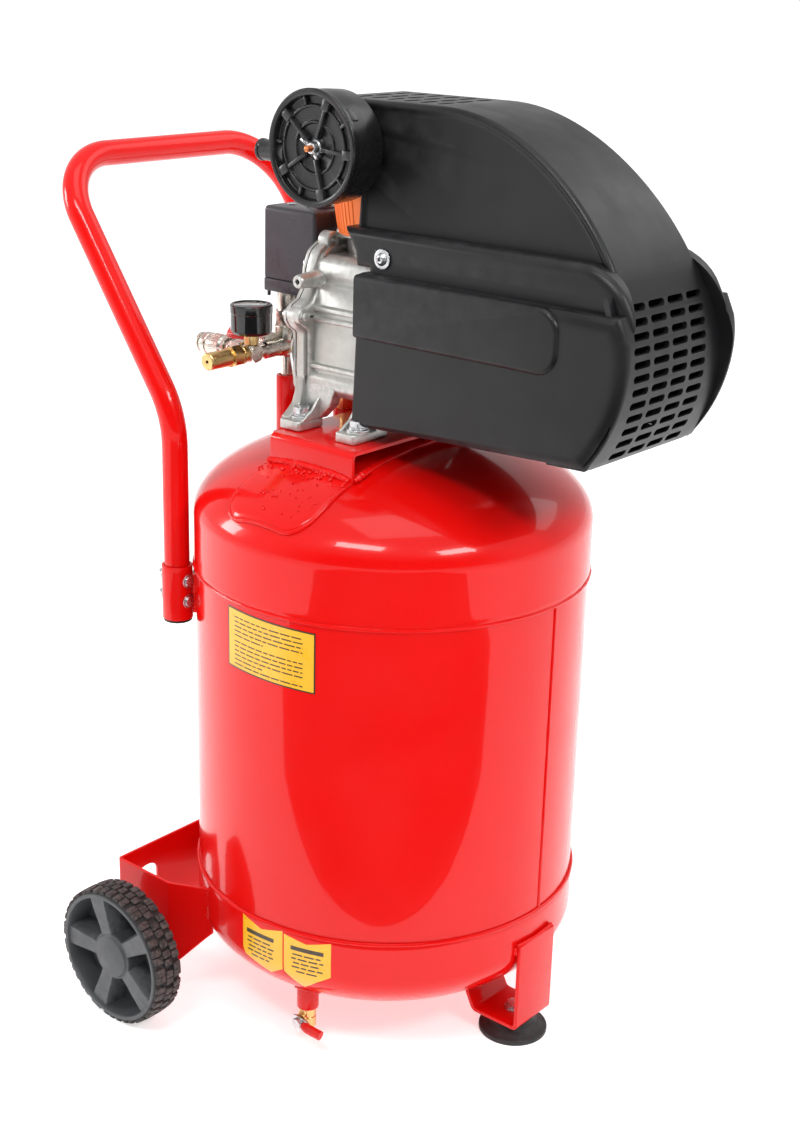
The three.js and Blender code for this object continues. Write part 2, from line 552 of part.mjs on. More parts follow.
// Side outline of the two wider steps below, which end in a rim proud of the grille.
function shroudStep(dx, low, backEdge, top) {
  const shape = new THREE.Shape();
  shape.moveTo(...backEdge[0]).lineTo(258 + dx, low).lineTo(266 + dx, 601);
  shape.bezierCurveTo(300 + dx, 640, 308 + dx, 700, 288 + dx, Math.min(top, 732));
  if (top > 740) shape.quadraticCurveTo(280 + dx, top - 10, 268 + dx, top);
  backEdge.slice(1).reverse().forEach(([x, z]) => shape.lineTo(x, z));
  return shape;
}

// The upper part leans in towards the top, so its flanks are cut to a taper.
function shroudUpper(shape, lowHalf, highHalf) {
  const slab = plate(shape, "xz", -lowHalf, lowHalf, 5);
  const flank = polygon([[-120, 740], [-lowHalf, 740], [-highHalf, 862], [-highHalf, 900], [-120, 900]]);
  const wedge = plate(flank, "yz", -90, 320);
  return cut(slab, wedge, wedge.mirror([0, 1, 0]));
}

function grilleSlots() {
  const slots = [];
  for (let row = 0; row < GRILLE.rows; row++) {
    for (let column = 0; column < GRILLE.columns; column++) {
      const y = (column - (GRILLE.columns - 1) / 2) * GRILLE.span;
      const z = GRILLE.top - row * GRILLE.pitch;
      slots.push(block(250, 310, y - GRILLE.slot / 2, y + GRILLE.slot / 2, z - GRILLE.height / 2,
        z + GRILLE.height / 2));
    }
  }
  return join(...slots);
}

function topVents() {
  const vents = [];
  for (const x of [-22, -4, 14, 32, 50, 68]) {
    for (const y of [-26, 0, 26]) vents.push(block(x - 3, x + 3, y - 10.5, y + 10.5, 840, 880));
  }
  return join(...vents);
}

function addShroud(group) {
  const { wall, lowHalf, midHalf, lowTop, midTop, bottom, back, topBack } = SHROUD;
  const side = new THREE.Shape().moveTo(back, bottom);
  shroudFront(side, 0, 0, bottom, topBack).lineTo(topBack, 798).lineTo(0, 786).lineTo(0, 740)
    .lineTo(back, lowTop);
  const inner = new THREE.Shape().moveTo(topBack - 20, bottom - 10);
  const middle = shroudUpper(side, 60, 50);
  const middleInside = shroudUpper(shroudFront(inner, -4, -2.5, bottom - 10, topBack - 20), 60 - wall,
    50 - wall);
  const low = plate(shroudStep(0, bottom, [[back, bottom], [back, lowTop]], lowTop), "xz", -lowHalf,
    lowHalf, 5);
  const tab = [[9.7, 700], [9.7, 727], [7.5, 740], [-4.4, midTop]];
  const mid = plate(shroudStep(0, 700, tab, midTop), "xz", -midHalf, midHalf, 5);
  const underTab = block(-10, back, -100, 100, 690, 727);
  const frontChannel = block(230, 320, -60, 60, bottom - 10, midTop + 5).subtract(middle);
  const raised = plate(roundedRect(0, 236, 670, lowTop, 20), "xz", -lowHalf - wall, lowHalf + wall, 4);
  const panels = raised.intersect(block(back, 240, -100, 100, 660, 730));
  const outer = join(low, mid.subtract(underTab), panels).subtract(frontChannel).add(middle);

  const keep = block(240, 320, -60, 60, bottom - 10, midTop + 5).subtract(middleInside);
  const lowEdge = [[0, bottom - 10], [0, lowTop - wall]];
  const lowInside = plate(shroudStep(-wall, bottom - 10, lowEdge, lowTop - wall), "xz", wall - lowHalf,
    lowHalf - wall, 5);
  const midEdge = [[-20, 690], [-20, midTop - wall]];
  const midInside = plate(shroudStep(-wall, 690, midEdge, midTop - wall), "xz", wall - midHalf,
    midHalf - wall, 5);
  const inside = join(lowInside, midInside).subtract(keep).add(middleInside);
  const screwHole = disc(2.8, -midHalf - 5, 5 - midHalf, "y", [42, 0, 738], 10);
  const neckHole = disc(14, -70, -40, "y", [FILTER.x, 0, FILTER.z], 16);
  add("shroud", cut(outer, inside, grilleSlots(), topVents(), screwHole, neckHole), BLACK, group);

  const face = -midHalf - GAP;
  const washer = disc(8.5, face - 1.6, face, "y", [42, 0, 738], 16);
  const screw = join(disc(5.6, face - 5, face - 1, "y", [42, 0, 738], 16),
    disc(2.4, face - 1, 9 - midHalf, "y", [42, 0, 738], 10));
  add("shroud_screw", join(washer, screw), STEEL, group);
}

// A scoop of orange plastic that wraps the cylinder's back and opens into the shroud.
function addAirGuide(group) {
  const scoop = (radius) => {
    const shape = new THREE.Shape();
    shape.moveTo(12, -radius).lineTo(CYLINDER_X, -radius);
    shape.absarc(CYLINDER_X, 0, radius, -Math.PI / 2, Math.PI / 2, true);
    shape.lineTo(12, radius);
    return plate(shape, "xy", 746, 794, 8);
  };
  const inner = scoop(43.4).add(block(0, 30, -43.4, 43.4, 740, 800));
  const solidWall = scoop(46.4).subtract(inner.add(disc(43.4, 740, 800, "z", [CYLINDER_X, 0, 0], 40)));
  add("air_guide", solidWall, ORANGE, group);
}

// ---- Air path ---------------------------------------------------------------------------------------------
function addFilter(group) {
  const { x, z, radius, back, front } = FILTER;
  const centre = [x, 0, z];
  const can = turned([[8, -HEAD_HALF - 0.4], [12, -HEAD_HALF - 0.4], [12, back], [radius, back],
    [radius, front + 6],
    [radius - 2.5, front + 6], [radius - 2.5, back - 2.5], [8, back - 2.5]], "y", centre, 28);
  const snorkelAt = [0, back - 24, z - 8];
  const snorkel = disc(9.5, x - 73, x - 40, "x", snorkelAt, 16);
  const cavity = disc(radius - 2.5, front, back - 2.5, "y", centre, 28);
  const inlet = disc(7.4, x - 75, x - 30, "x", snorkelAt, 16);
  const stud = join(disc(2.3, front - 5, back, "y", centre, 8),
    block(x - 12, x + 12, back - 2.5, back, z - 2.5, z + 2.5));
  add("filter_base", cut(join(can, snorkel), cavity, inlet).add(stud), BLACK, group);

  const element = ring(radius - 3.2, 22, front + 11.5, back - 3.5, "y", centre, 28);
  add("filter_element", element, FOAM, group);

  const lid = turned([[2.8, front + 10.5], [radius - 3.2, front + 10.5], [radius - 3.2, front + 5.7],
    [radius + 1.2, front + 5.7],
    [radius + 1.2, front + 0.8], [radius + 0.4, front], [42.5, front], [42.5, front + 8],
      [2.8, front + 8]], "y", centre, 28);
  const ribs = Array.from({ length: 5 }, (_, i) => {
    const rib = new THREE.BoxGeometry(28, 7.5, 1.8).translate(29, front + 4.9, 0);
    return solid(rib.rotateY(0.07 - (i / 5) * Math.PI * 2).translate(x, 0, z));
  });
  const step = ring(34, 32, front + 4, front + 9, "y", centre, 28);
  add("filter_cover", join(lid, ...ribs, step), BLACK, group);

  const nutAt = front + 7.6;
  const nut = disc(5.5, nutAt - 6, nutAt, "y", centre, 14);
  const wings = [-1, 1].map((s) => {
    const wing = new THREE.BoxGeometry(10, 2, 7).translate(s * 8, nutAt - 5, 0);
    return solid(wing.rotateY(0.7).translate(x, 0, z));
  });
  add("filter_wing_nut", join(nut, ...wings).subtract(disc(2.6, nutAt - 12, nutAt + 3, "y", centre, 8)),
    STEEL, group);
}

// Head outlet, down past the crankcase, to the check valve on the tank.
function addDischarge(group) {
  const { x, y, bossTop } = CHECK_VALVE;
  const top = bossTop + 41;
  const points = [
    [new THREE.Vector3(CYLINDER_X - HEAD_HALF - 0.4, y, 818), 0],
    [new THREE.Vector3(x, y, 818), 16],
    [new THREE.Vector3(x, y, top + GAP), 0],
  ];
  add("discharge_pipe", pipe(bentPath(points), 4.5, 3.2, 4, 11), NICKEL, group);
  const at = [x, y, 0];
  const valve = join(
    hexagon(22, bossTop + GAP, bossTop + 14, "z", at),
    disc(8, bossTop + 13, bossTop + 34, "z", at, 16),
    hexagon(17, bossTop + 33, top, "z", at),
    disc(5.5, 550, bossTop + 1, "z", at, 14),
  );
  add("check_valve", valve.subtract(disc(3, 540, top + 5, "z", at, 10)), BRASS, group);
}

function addPressureSwitch(group) {
  const { x0, x1, y0, y1, z0, split, z1 } = SWITCH;
  const tray = cut(block(x0, x1, y0, y1, z0, split),
    block(x0 + 3, x1 - 3, y0 + 3, y1 - 3, z0 + 4, split + 5));
  add("switch_base", tray, BLACK, group);
  const lid = plate(roundedRect(x0, x1, y0, y1, 3), "xy", split + GAP, z1, 3);
  const room = block(x0 + 2.2, x1 - 2.2, y0 + 2.2, y1 - 2.2, split - 5, z1 - 2.2);
  const knobAt = [-84, -8, 0];
  add("switch_cover", cut(lid, room, disc(3.5, z1 - 5, z1 + 5, "z", knobAt, 12)), BLACK, group);
  const knob = join(disc(3, z1 - 12, z1 + 7, "z", knobAt, 12), disc(8, z1 + 6, z1 + 15, "z", knobAt, 16));
  add("switch_knob", knob, RED, group);
}

// Nickel-plated manifold from the riser: switch port above, gauge, regulator and outlet in front.
function addManifold(group) {
  const { x, y } = RISER;
  const end = -79;
  const solidBody = join(
    disc(7.5, end, -12, "y", [x, 0, MANIFOLD_Z], 16),
    disc(6.5, 594, MANIFOLD_Z, "z", [x, y, 0], 16),
    disc(12.5, MANIFOLD_Z + 4, SWITCH.z0 - GAP, "z", [x, y, 0], 16),
    disc(10, -138, x, "x", [0, REGULATOR.y, REGULATOR.z], 18),
    disc(6, -123.6, x, "x", [0, GAUGE.y, MANIFOLD_Z], 14),
    hexagon(13, MANIFOLD_Z, GAUGE.bottom - 8, "z", [x, GAUGE.y, 0]),
  );
  const bores = [
    disc(4, end - 1, y, "y", [x, 0, MANIFOLD_Z], 10),
    disc(4, 590, SWITCH.z0, "z", [x, y, 0], 10),
    disc(3.2, -125, x, "x", [0, GAUGE.y, MANIFOLD_Z], 10),
  ];
  add("manifold", cut(solidBody, ...bores), NICKEL, group);

  const valve = turned([[0, end - GAP], [8.5, end - GAP], [8.5, end - 4], [7, end - 5], [7, end - 22],
    [7.7, end - 23], [7.7, end - 48],
    [6.7, end - 49], [0, end - 49]], "y", [x, 0, MANIFOLD_Z], 16);
  const nut = hexagon(18, end - 20, end - 5, "y", [x, 0, MANIFOLD_Z]);
  add("safety_valve", join(valve, nut).subtract(disc(1.2, end - 55, end - 40, "y", [x, 0, MANIFOLD_Z], 8)),
    BRASS, group);

  const grips = Array.from({ length: 10 }, (_, i) => {
    const grip = new THREE.BoxGeometry(22, 3, 3).translate(-152, 0, 12);
    return solid(grip.rotateX((i / 10) * Math.PI * 2).translate(0, REGULATOR.y, REGULATOR.z));
  });
  add("regulator_knob", join(disc(12, -165, -138.4, "x", [0, REGULATOR.y, REGULATOR.z], 16), ...grips),
    RED, group);
}

function addGauge(group) {
  const { y, radius, bottom, top } = GAUGE;
  const at = [RISER.x, y, 0];
  const dialCase = turned([[0, bottom - 7.7], [5, bottom - 7.7], [5, bottom], [radius - 1, bottom],
    [radius, bottom + 2], [radius, top],
    [radius - 2.2, top], [radius - 2.2, top - 5], [0, top - 5]], "z", at, 26);
  add("gauge_case", dialCase, BLACK, group);
  const pivot = disc(2, top - 4.7, top - 3.2, "z", at, 10);
  const pointer = block(RISER.x - 0.6, RISER.x + 0.6, y - 13, y + 4, top - 4.2, top - 3.6);
  add("gauge_needle", join(pivot, pointer), BLACK, group);
}

// Outlet coupler: plug in from the left; its sleeve slides back to let go.
function addCoupler(group) {
  const at = [0, GAUGE.y, MANIFOLD_Z];
  const hex = hexagon(17, -139, -124, "x", at);
  const barrel = turned([[0, -138], [7.4, -138], [7.4, -176.6], [9.6, -177], [9.6, -180], [8.6, -181],
    [0, -181]], "x", at, 18);
  add("coupler_body", join(hex, barrel).subtract(disc(5.4, -182, -150, "x", at, 16)), NICKEL, group);
  const sleeve = [[7.8, -176], [9.6, -176], [10.6, -173], [10.6, -150], [9.4, -147], [9.4, -144.2],
    [7.8, -144.2]];
  add("coupler_sleeve", turned(sleeve, "x", at, 18), STEEL, group);
}

function addDrainValve(group) {
  const { x, y, bossBottom, leverZ } = DRAIN;
  const at = [x, y, 0];
  const body = join(
    hexagon(15, bossBottom - 9, bossBottom - GAP, "z", at),
    disc(3.4, bossBottom - 1, bossBottom + 12, "z", at, 10),
    disc(8, 14, bossBottom - 8, "z", at, 18),
    disc(5, 10, 15, "z", at, 14),
    disc(3.2, y - 14, y, "y", [x, 0, leverZ], 10),
  );
  add("drain_valve", body.subtract(disc(1.8, 9, 60, "z", at, 8)), BRASS, group);
  const blade = roundedRect(x - 9, x + 9, leverZ - 7, leverZ + 7, 5);
  const grip = roundedRect(x + 6, x + 31, leverZ - 4.5, leverZ + 4.5, 4);
  const lever = join(plate(blade, "xz", y - 12.6, y - 10.8), plate(grip, "xz", y - 18, y - 11.2));
  add("drain_lever", lever.subtract(disc(3.5, y - 22, y - 5, "y", [x, 0, leverZ], 12)), RED, group);
}

for (const build of [addTank, addTankPorts, addSaddle, addWheelBracket, addWheels, addFoot, addHandle,
  addCrankcase, addCylinder, addCrankTrain, addMotor, addShroud, addAirGuide, addFilter, addDischarge,
  addPressureSwitch, addManifold, addGauge, addCoupler, addDrainValve]) {
  const group = new THREE.Group();
  compressor.add(group);
  build(group);
}

// The origin is at the centre of the base of the whole object's box.
const reach = new THREE.Box3().setFromObject(compressor, true);
compressor.children.forEach((group) => group.position.setX(-(reach.min.x + reach.max.x) / 2));

export default compressor;
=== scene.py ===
"""Looks of the upright portable air compressor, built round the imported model.

Shapes are drawn in millimetres about the tank's axis and taken into the row frame by piece().
"""

import math
import random

import bmesh
import bpy
from mathutils import Matrix, Vector, noise


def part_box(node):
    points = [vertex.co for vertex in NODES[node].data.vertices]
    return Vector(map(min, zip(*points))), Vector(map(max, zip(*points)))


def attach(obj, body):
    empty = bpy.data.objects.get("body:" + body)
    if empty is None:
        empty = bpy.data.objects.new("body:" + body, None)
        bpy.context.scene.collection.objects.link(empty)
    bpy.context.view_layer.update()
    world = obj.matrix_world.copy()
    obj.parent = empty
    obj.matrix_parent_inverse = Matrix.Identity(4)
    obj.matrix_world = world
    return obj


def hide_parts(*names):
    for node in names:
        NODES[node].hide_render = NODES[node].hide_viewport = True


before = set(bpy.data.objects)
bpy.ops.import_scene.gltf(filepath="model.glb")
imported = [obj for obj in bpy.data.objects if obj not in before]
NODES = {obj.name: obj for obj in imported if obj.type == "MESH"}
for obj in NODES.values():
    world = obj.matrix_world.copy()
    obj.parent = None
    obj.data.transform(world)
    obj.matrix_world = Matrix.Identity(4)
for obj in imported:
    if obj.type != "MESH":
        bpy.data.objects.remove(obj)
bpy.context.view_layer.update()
AXIS_X = sum(corner.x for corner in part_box("tank_barrel")) / 2


def extent(node):
    """Lowest and highest corner of a CAD node, in millimetres about the tank's axis."""
    low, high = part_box(node)
    shift = Vector((AXIS_X, 0, 0))
    return (low - shift) * 1000, (high - shift) * 1000


def middle(node):
    low, high = extent(node)
    return (low + high) / 2


# ---- Shapes -----------------------------------------------------------------------------------------------
def eased(corners, closed=True, step=10):
    """Points of a flat outline; a corner of (u, v, radius) becomes an arc."""
    out = []
    last = len(corners) - 1
    for i, corner in enumerate(corners):
        at = Vector(corner[:2])
        radius = corner[2] if len(corner) > 2 else 0
        if radius == 0 or (not closed and i in (0, last)):
            out.append(tuple(at))
            continue
        back = Vector(corners[i - 1][:2]) - at
        ahead = Vector(corners[(i + 1) % len(corners)][:2]) - at
        half = back.angle(ahead) / 2
        if half > math.pi / 2 - 0.01:
            out.append(tuple(at))
            continue
        reach = min(radius / math.tan(half), 0.49 * back.length, 0.49 * ahead.length)
        radius = reach * math.tan(half)
        back.normalize()
        ahead.normalize()
        centre = at + (back + ahead).normalized() * (radius / math.sin(half))
        spoke = at + back * reach - centre
        end = at + ahead * reach - centre
        turn = math.pi - 2 * half
        sign = 1 if spoke.x * end.y - spoke.y * end.x > 0 else -1
        count = max(2, math.ceil(math.degrees(turn) / step))
        for k in range(count + 1):
            out.append(tuple(centre + Matrix.Rotation(sign * turn * k / count, 2) @ spoke))
    return out


def bezier(p0, p1, p2, p3, count=16):
    """Points of a cubic curve after its start."""
    out = []
    for k in range(1, count + 1):
        t = k / count
        s = 1 - t
        weights = (s * s * s, 3 * s * s * t, 3 * s * t * t, t * t * t)
        out.append(tuple(sum(w * p[a] for w, p in zip(weights, (p0, p1, p2, p3))) for a in (0, 1)))
    return out


def inset(outline, depth):
    """An outline moved inwards by depth, corner by corner."""
    count = len(outline)
    area = sum(
        outline[i][0] * outline[(i + 1) % count][1] - outline[(i + 1) % count][0] * outline[i][1]
        for i in range(count)
    )
    sign = 1 if area > 0 else -1
    out = []
    for i in range(count):
        here = Vector(outline[i])
        along = (here - Vector(outline[i - 1])).normalized()
        onward = (Vector(outline[(i + 1) % count]) - here).normalized()
        normal = Vector((-along.y - onward.y, along.x + onward.x))
        if normal.length < 1e-6:
            normal = Vector((-along.y, along.x))
        normal.normalize()
        lean = max(0.35, normal.dot(Vector((-along.y, along.x))))
        out.append(tuple(here + normal * sign * depth / lean))
    return out


def spot(plane, u, v, s):
    return {"xy": (u, v, s), "xz": (u, s, v), "yz": (s, u, v)}[plane]


def skin(rings, caps=True, closed=False):
    """A surface through rings of points; a ring of one point is a tip."""
    bm = bmesh.new()
    made = [[bm.verts.new(p) for p in ring] for ring in rings]
    pairs = list(zip(made, made[1:]))
    if closed:
        pairs.append((made[-1], made[0]))
    for a, b in pairs:
        count = max(len(a), len(b))
        for i in range(count if count > 1 else 0):
            j = (i + 1) % count
            if len(a) == 1:
                bm.faces.new((a[0], b[i], b[j]))
            elif len(b) == 1:
                bm.faces.new((a[j], a[i], b[0]))
            else:
                bm.faces.new((a[j], a[i], b[i], b[j]))
    if caps and not closed:
        for ring in (made[0], made[-1]):
            if len(ring) > 2:
                bm.faces.new(ring)
    bmesh.ops.recalc_face_normals(bm, faces=bm.faces[:])
    return bm


def banded(outline, plane, profile):
    """An outline given depth, with (inset, depth) pairs from one face to the other."""
    return skin([[spot(plane, u, v, s) for u, v in inset(outline, d)] for d, s in profile])


def rounding(radius, s0, s1, steps=3):
    """(inset, depth) pairs for a slab with rounded edges."""
    if radius == 0:
        return [(0, s0), (0, s1)]
    turns = [math.pi / 2 * k / steps for k in range(steps + 1)]
    low = [(radius * (1 - math.sin(a)), s0 + radius * (1 - math.cos(a))) for a in turns]
    return low + [(d, s0 + s1 - s) for d, s in reversed(low)]


def prism(outline, plane, s0, s1, edge=0.0, steps=3):
    return banded(outline, plane, rounding(edge, s0, s1, steps))


def turned(profile, axis, centre=(0, 0, 0), segments=96):
    """A profile of (radius, distance along the axis) turned about the axis through centre."""
    cx, cy, cz = centre
    rings = []
    for radius, along in profile:
        ring = []
        for i in range(segments if radius > 1e-6 else 1):
            a = math.tau * i / segments
            u, v = radius * math.cos(a), radius * math.sin(a)
            ring.append({
                "x": (cx + along, cy + u, cz + v),
                "y": (cx + u, cy + along, cz + v),
                "z": (cx + u, cy + v, cz + along),
            }[axis])
        rings.append(ring)
    loop = profile[0][0] > 1e-6 or profile[-1][0] > 1e-6
    return skin(rings, caps=False, closed=loop)


def disc(radius, s0, s1, axis, centre, edge=0.5, segments=48):
    low, high = min(s0, s1), max(s0, s1)
    return turned(
        eased([(0, low), (radius, low, edge), (radius, high, edge), (0, high)], False, 30), axis, centre,
        segments
    )


def tube(outer, inner, s0, s1, axis, centre, edge=0.5, segments=64):
    low, high = min(s0, s1), max(s0, s1)
    corners = [(inner, low, edge), (outer, low, edge), (outer, high, edge), (inner, high, edge)]
    return turned(eased(corners, True, 30), axis, centre, segments)


def box(x0, x1, y0, y1, z0, z1, edge=0.8, steps=2):
    bm = bmesh.new()
    bmesh.ops.create_cube(bm, size=1)
    for v in bm.verts:
        v.co = Vector((
            (x0 + x1) / 2 + v.co.x * (x1 - x0),
            (y0 + y1) / 2 + v.co.y * (y1 - y0),
            (z0 + z1) / 2 + v.co.z * (z1 - z0),
        ))
    if edge:
        bmesh.ops.bevel(bm, geom=bm.edges[:], offset=edge, segments=steps, profile=0.5, affect="EDGES")
    return bm


def sweep(path, radius, sides=28, closed=False, flat=1.0):
    """A round bar along a path; radius may be a function of the point's number."""
    points = [Vector(p) for p in path]
    count = len(points)
    side = None
    rings = []
    for i, at in enumerate(points):
        before = points[i - 1] if closed or i else at
        after = points[(i + 1) % count] if closed or i < count - 1 else at
        along = (after - before).normalized()
        if side is None:
            side = along.orthogonal().normalized()
        side = (side - along * side.dot(along)).normalized()
        other = along.cross(side)
        r = radius(i) if callable(radius) else radius
        rings.append([
            at + (side * math.cos(a) + other * math.sin(a) * flat) * r
            for a in (math.tau * k / sides for k in range(sides))
        ])
    return skin(rings, caps=not closed, closed=closed)


def route(corners, step=5):
    """Points along straight stretches joined by arcs; a corner is (point, bend radius)."""
    out = [Vector(corners[0][0])]
    for i in range(1, len(corners) - 1):
        at, radius = Vector(corners[i][0]), corners[i][1]
        back = (Vector(corners[i - 1][0]) - at).normalized()
        ahead = (Vector(corners[i + 1][0]) - at).normalized()
        half = back.angle(ahead) / 2
        centre = at + (back + ahead).normalized() * (radius / math.sin(half))
        spoke = at + back * (radius / math.tan(half)) - centre
        end = at + ahead * (radius / math.tan(half)) - centre
        turn = math.pi - 2 * half
        axis = spoke.cross(end)
        count = max(3, math.ceil(math.degrees(turn) / step))
        for k in range(count + 1):
            out.append(centre + Matrix.Rotation(turn * k / count, 3, axis) @ spoke)
    out.append(Vector(corners[-1][0]))
    return out


def hexagon(across, s0, s1, axis, centre, edge=0.6, turn=0.0):
    radius = across / math.sqrt(3)
    cx, cy, cz = centre
    at = {"x": (cy, cz), "y": (cx, cz), "z": (cx, cy)}[axis]
    outline = [
        (
            at[0] + radius * math.cos(turn + math.tau * k / 6),
            at[1] + radius * math.sin(turn + math.tau * k / 6)
        )
        for k in range(6)
    ]
    plane = {"x": "yz", "y": "xz", "z": "xy"}[axis]
    low, high = min(s0, s1), max(s0, s1)
    chamfered = disc(radius, low, high, axis, centre, edge=edge * 1.6, segments=60)
    return carve(prism(outline, plane, low - 0.01, high + 0.01), chamfered, operation="INTERSECT")


def join(*parts):
    """Meshes gathered into one; the parts are used up."""
    whole = parts[0]
    for part in parts[1:]:
        mesh = bpy.data.meshes.new("part")
        part.to_mesh(mesh)
        part.free()
        whole.from_mesh(mesh)
        bpy.data.meshes.remove(mesh)
    return whole


def moved(bm, matrix):
    bmesh.ops.transform(bm, matrix=matrix, verts=bm.verts[:])
    return bm


def turned_about(bm, angle, axis, centre):
    at = Vector(centre)
    spin = Matrix.Translation(at) @ Matrix.Rotation(angle, 4, axis) @ Matrix.Translation(-at)
    return moved(bm, spin)


def flipped(bm):
    """The same shape on the other side of the middle."""
    return moved(bm, Matrix.Diagonal((1, -1, 1, 1)))


def carve(base, *tools, operation="DIFFERENCE", solver="MANIFOLD"):
    """The base with the tools cut from it, added to it or kept in common; all are used up."""
    def holder(bm):
        mesh = bpy.data.meshes.new("work")
        bm.to_mesh(mesh)
        obj = bpy.data.objects.new("work", mesh)
        bpy.context.scene.collection.objects.link(obj)
        return obj

    body = holder(base)
    others = [holder(t) for t in tools]
    for other in others:
        modifier = body.modifiers.new("work", "BOOLEAN")
        modifier.object = other
        modifier.operation = operation
        modifier.solver = solver
    graph = bpy.context.evaluated_depsgraph_get()
    graph.update()
    made = body.evaluated_get(graph)
    out = bmesh.new()
    out.from_mesh(made.to_mesh())
    made.to_mesh_clear()
    for obj in [body, *others]:
        mesh = obj.data
        bpy.data.objects.remove(obj)
        bpy.data.meshes.remove(mesh)
    if not out.faces and solver != "EXACT":
        return carve(base, *tools, operation=operation, solver="EXACT")
    base.free()
    for t in tools:
        t.free()
    return out


def piece(name, bm, finish, body, *nodes, angle=32, soft=0.0):
    """Hands a mesh in millimetres to the frame as a piece that rides on body and stands for nodes."""
    moved(bm, Matrix.Translation((AXIS_X, 0, 0)) @ Matrix.Scale(0.001, 4))
    bmesh.ops.remove_doubles(bm, verts=bm.verts[:], dist=2e-6)
    bmesh.ops.dissolve_degenerate(bm, edges=bm.edges[:], dist=1e-6)
    bmesh.ops.recalc_face_normals(bm, faces=bm.faces[:])
    limit = math.radians(angle)
    for face in bm.faces:
        face.smooth = True
    for edge in bm.edges:
        edge.smooth = len(edge.link_faces) == 2 and edge.calc_face_angle(0) < limit
    mesh = bpy.data.meshes.new(name)
    bm.to_mesh(mesh)
    bm.free()
    obj = bpy.data.objects.new(name, mesh)
    bpy.context.scene.collection.objects.link(obj)
    mesh.materials.append(look(finish))
    if soft:
        modifier = obj.modifiers.new("edges", "BEVEL")
        modifier.width = soft * 0.001
        modifier.segments = 2
        modifier.limit_method = "ANGLE"
        modifier.angle_limit = math.radians(40)
        modifier.harden_normals = False
    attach(obj, body)
    SLOT_OF.get(finish, finish)
    if nodes:
        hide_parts(*nodes)
    return obj


# ---- Materials --------------------------------------------------------------------------------------------
class Surface:
    """A procedural material under construction; lengths of its patterns are in millimetres."""

    def __init__(self, name, colour, roughness, metallic=0.0, **fixed):
        self.material = bpy.data.materials.new(name)
        self.material.use_nodes = True
        self.tree = self.material.node_tree
        self.shader = self.tree.nodes["Principled BSDF"]
        self.shader.inputs["Metallic"].default_value = metallic
        self.shader.inputs["Roughness"].default_value = roughness
        self.shader.inputs["Base Color"].default_value = (*colour, 1)
        for key, value in fixed.items():
            self.shader.inputs[key.replace("_", " ").title().replace("Ior", "IOR")].default_value = value
        self.colour = (*colour, 1)
        self.place = self.tree.nodes.new("ShaderNodeTexCoord").outputs["Object"]
        self.normal = None

    def link(self, a, b):
        self.tree.links.new(a, b)

    def noise(self, size, detail=3.0, rough=0.55, stretch=(1, 1, 1)):
        mapping = self.tree.nodes.new("ShaderNodeMapping")
        mapping.inputs["Scale"].default_value = [1000 / size / s for s in stretch]
        self.link(self.place, mapping.inputs["Vector"])
        texture = self.tree.nodes.new("ShaderNodeTexNoise")
        texture.inputs["Scale"].default_value = 1.0
        texture.inputs["Detail"].default_value = detail
        texture.inputs["Roughness"].default_value = rough
        self.link(mapping.outputs["Vector"], texture.inputs["Vector"])
        return texture.outputs["Fac"]

    def cells(self, size):
        mapping = self.tree.nodes.new("ShaderNodeMapping")
        mapping.inputs["Scale"].default_value = [1000 / size] * 3
        self.link(self.place, mapping.inputs["Vector"])
        texture = self.tree.nodes.new("ShaderNodeTexVoronoi")
        texture.inputs["Scale"].default_value = 1.0
        self.link(mapping.outputs["Vector"], texture.inputs["Vector"])
        return texture.outputs["Distance"]

    def edges(self, low, high):
        """1 on convex edges and 0 on flats."""
        geometry = self.tree.nodes.new("ShaderNodeNewGeometry")
        return self.span(geometry.outputs["Pointiness"], low, high, 0, 1)

    def span(self, value, low, high, out_low, out_high):
        node = self.tree.nodes.new("ShaderNodeMapRange")
        for key, number in zip(("From Min", "From Max", "To Min", "To Max"), (low, high, out_low, out_high)):
            node.inputs[key].default_value = number
        self.link(value, node.inputs["Value"])
        return node.outputs["Result"]

    def times(self, a, b):
        node = self.tree.nodes.new("ShaderNodeMath")
        node.operation = "MULTIPLY"
        self.link(a, node.inputs[0])
        self.link(b, node.inputs[1])
        return node.outputs[0]

    def tint(self, amount, colour):
        """Mixes another colour in where amount is high."""
        node = self.tree.nodes.new("ShaderNodeMix")
        node.data_type = "RGBA"
        self.link(amount, node.inputs["Factor"])
        socket = self.shader.inputs["Base Color"]
        if socket.is_linked:
            self.link(socket.links[0].from_socket, node.inputs["A"])
        else:
            node.inputs["A"].default_value = self.colour
        node.inputs["B"].default_value = (*colour, 1)
        self.link(node.outputs["Result"], socket)
        return self

    def gloss(self, value, low, high, out_low, out_high):
        self.link(self.span(value, low, high, out_low, out_high), self.shader.inputs["Roughness"])
        return self

    def bump(self, height, depth, strength=1.0, coat=False):
        node = self.tree.nodes.new("ShaderNodeBump")
        node.inputs["Strength"].default_value = strength
        node.inputs["Distance"].default_value = depth / 1000
        self.link(height, node.inputs["Height"])
        if self.normal:
            self.link(self.normal, node.inputs["Normal"])
        self.normal = node.outputs["Normal"]
        self.link(self.normal, self.shader.inputs["Normal"])
        if coat:
            self.link(self.normal, self.shader.inputs["Coat Normal"])
        return self


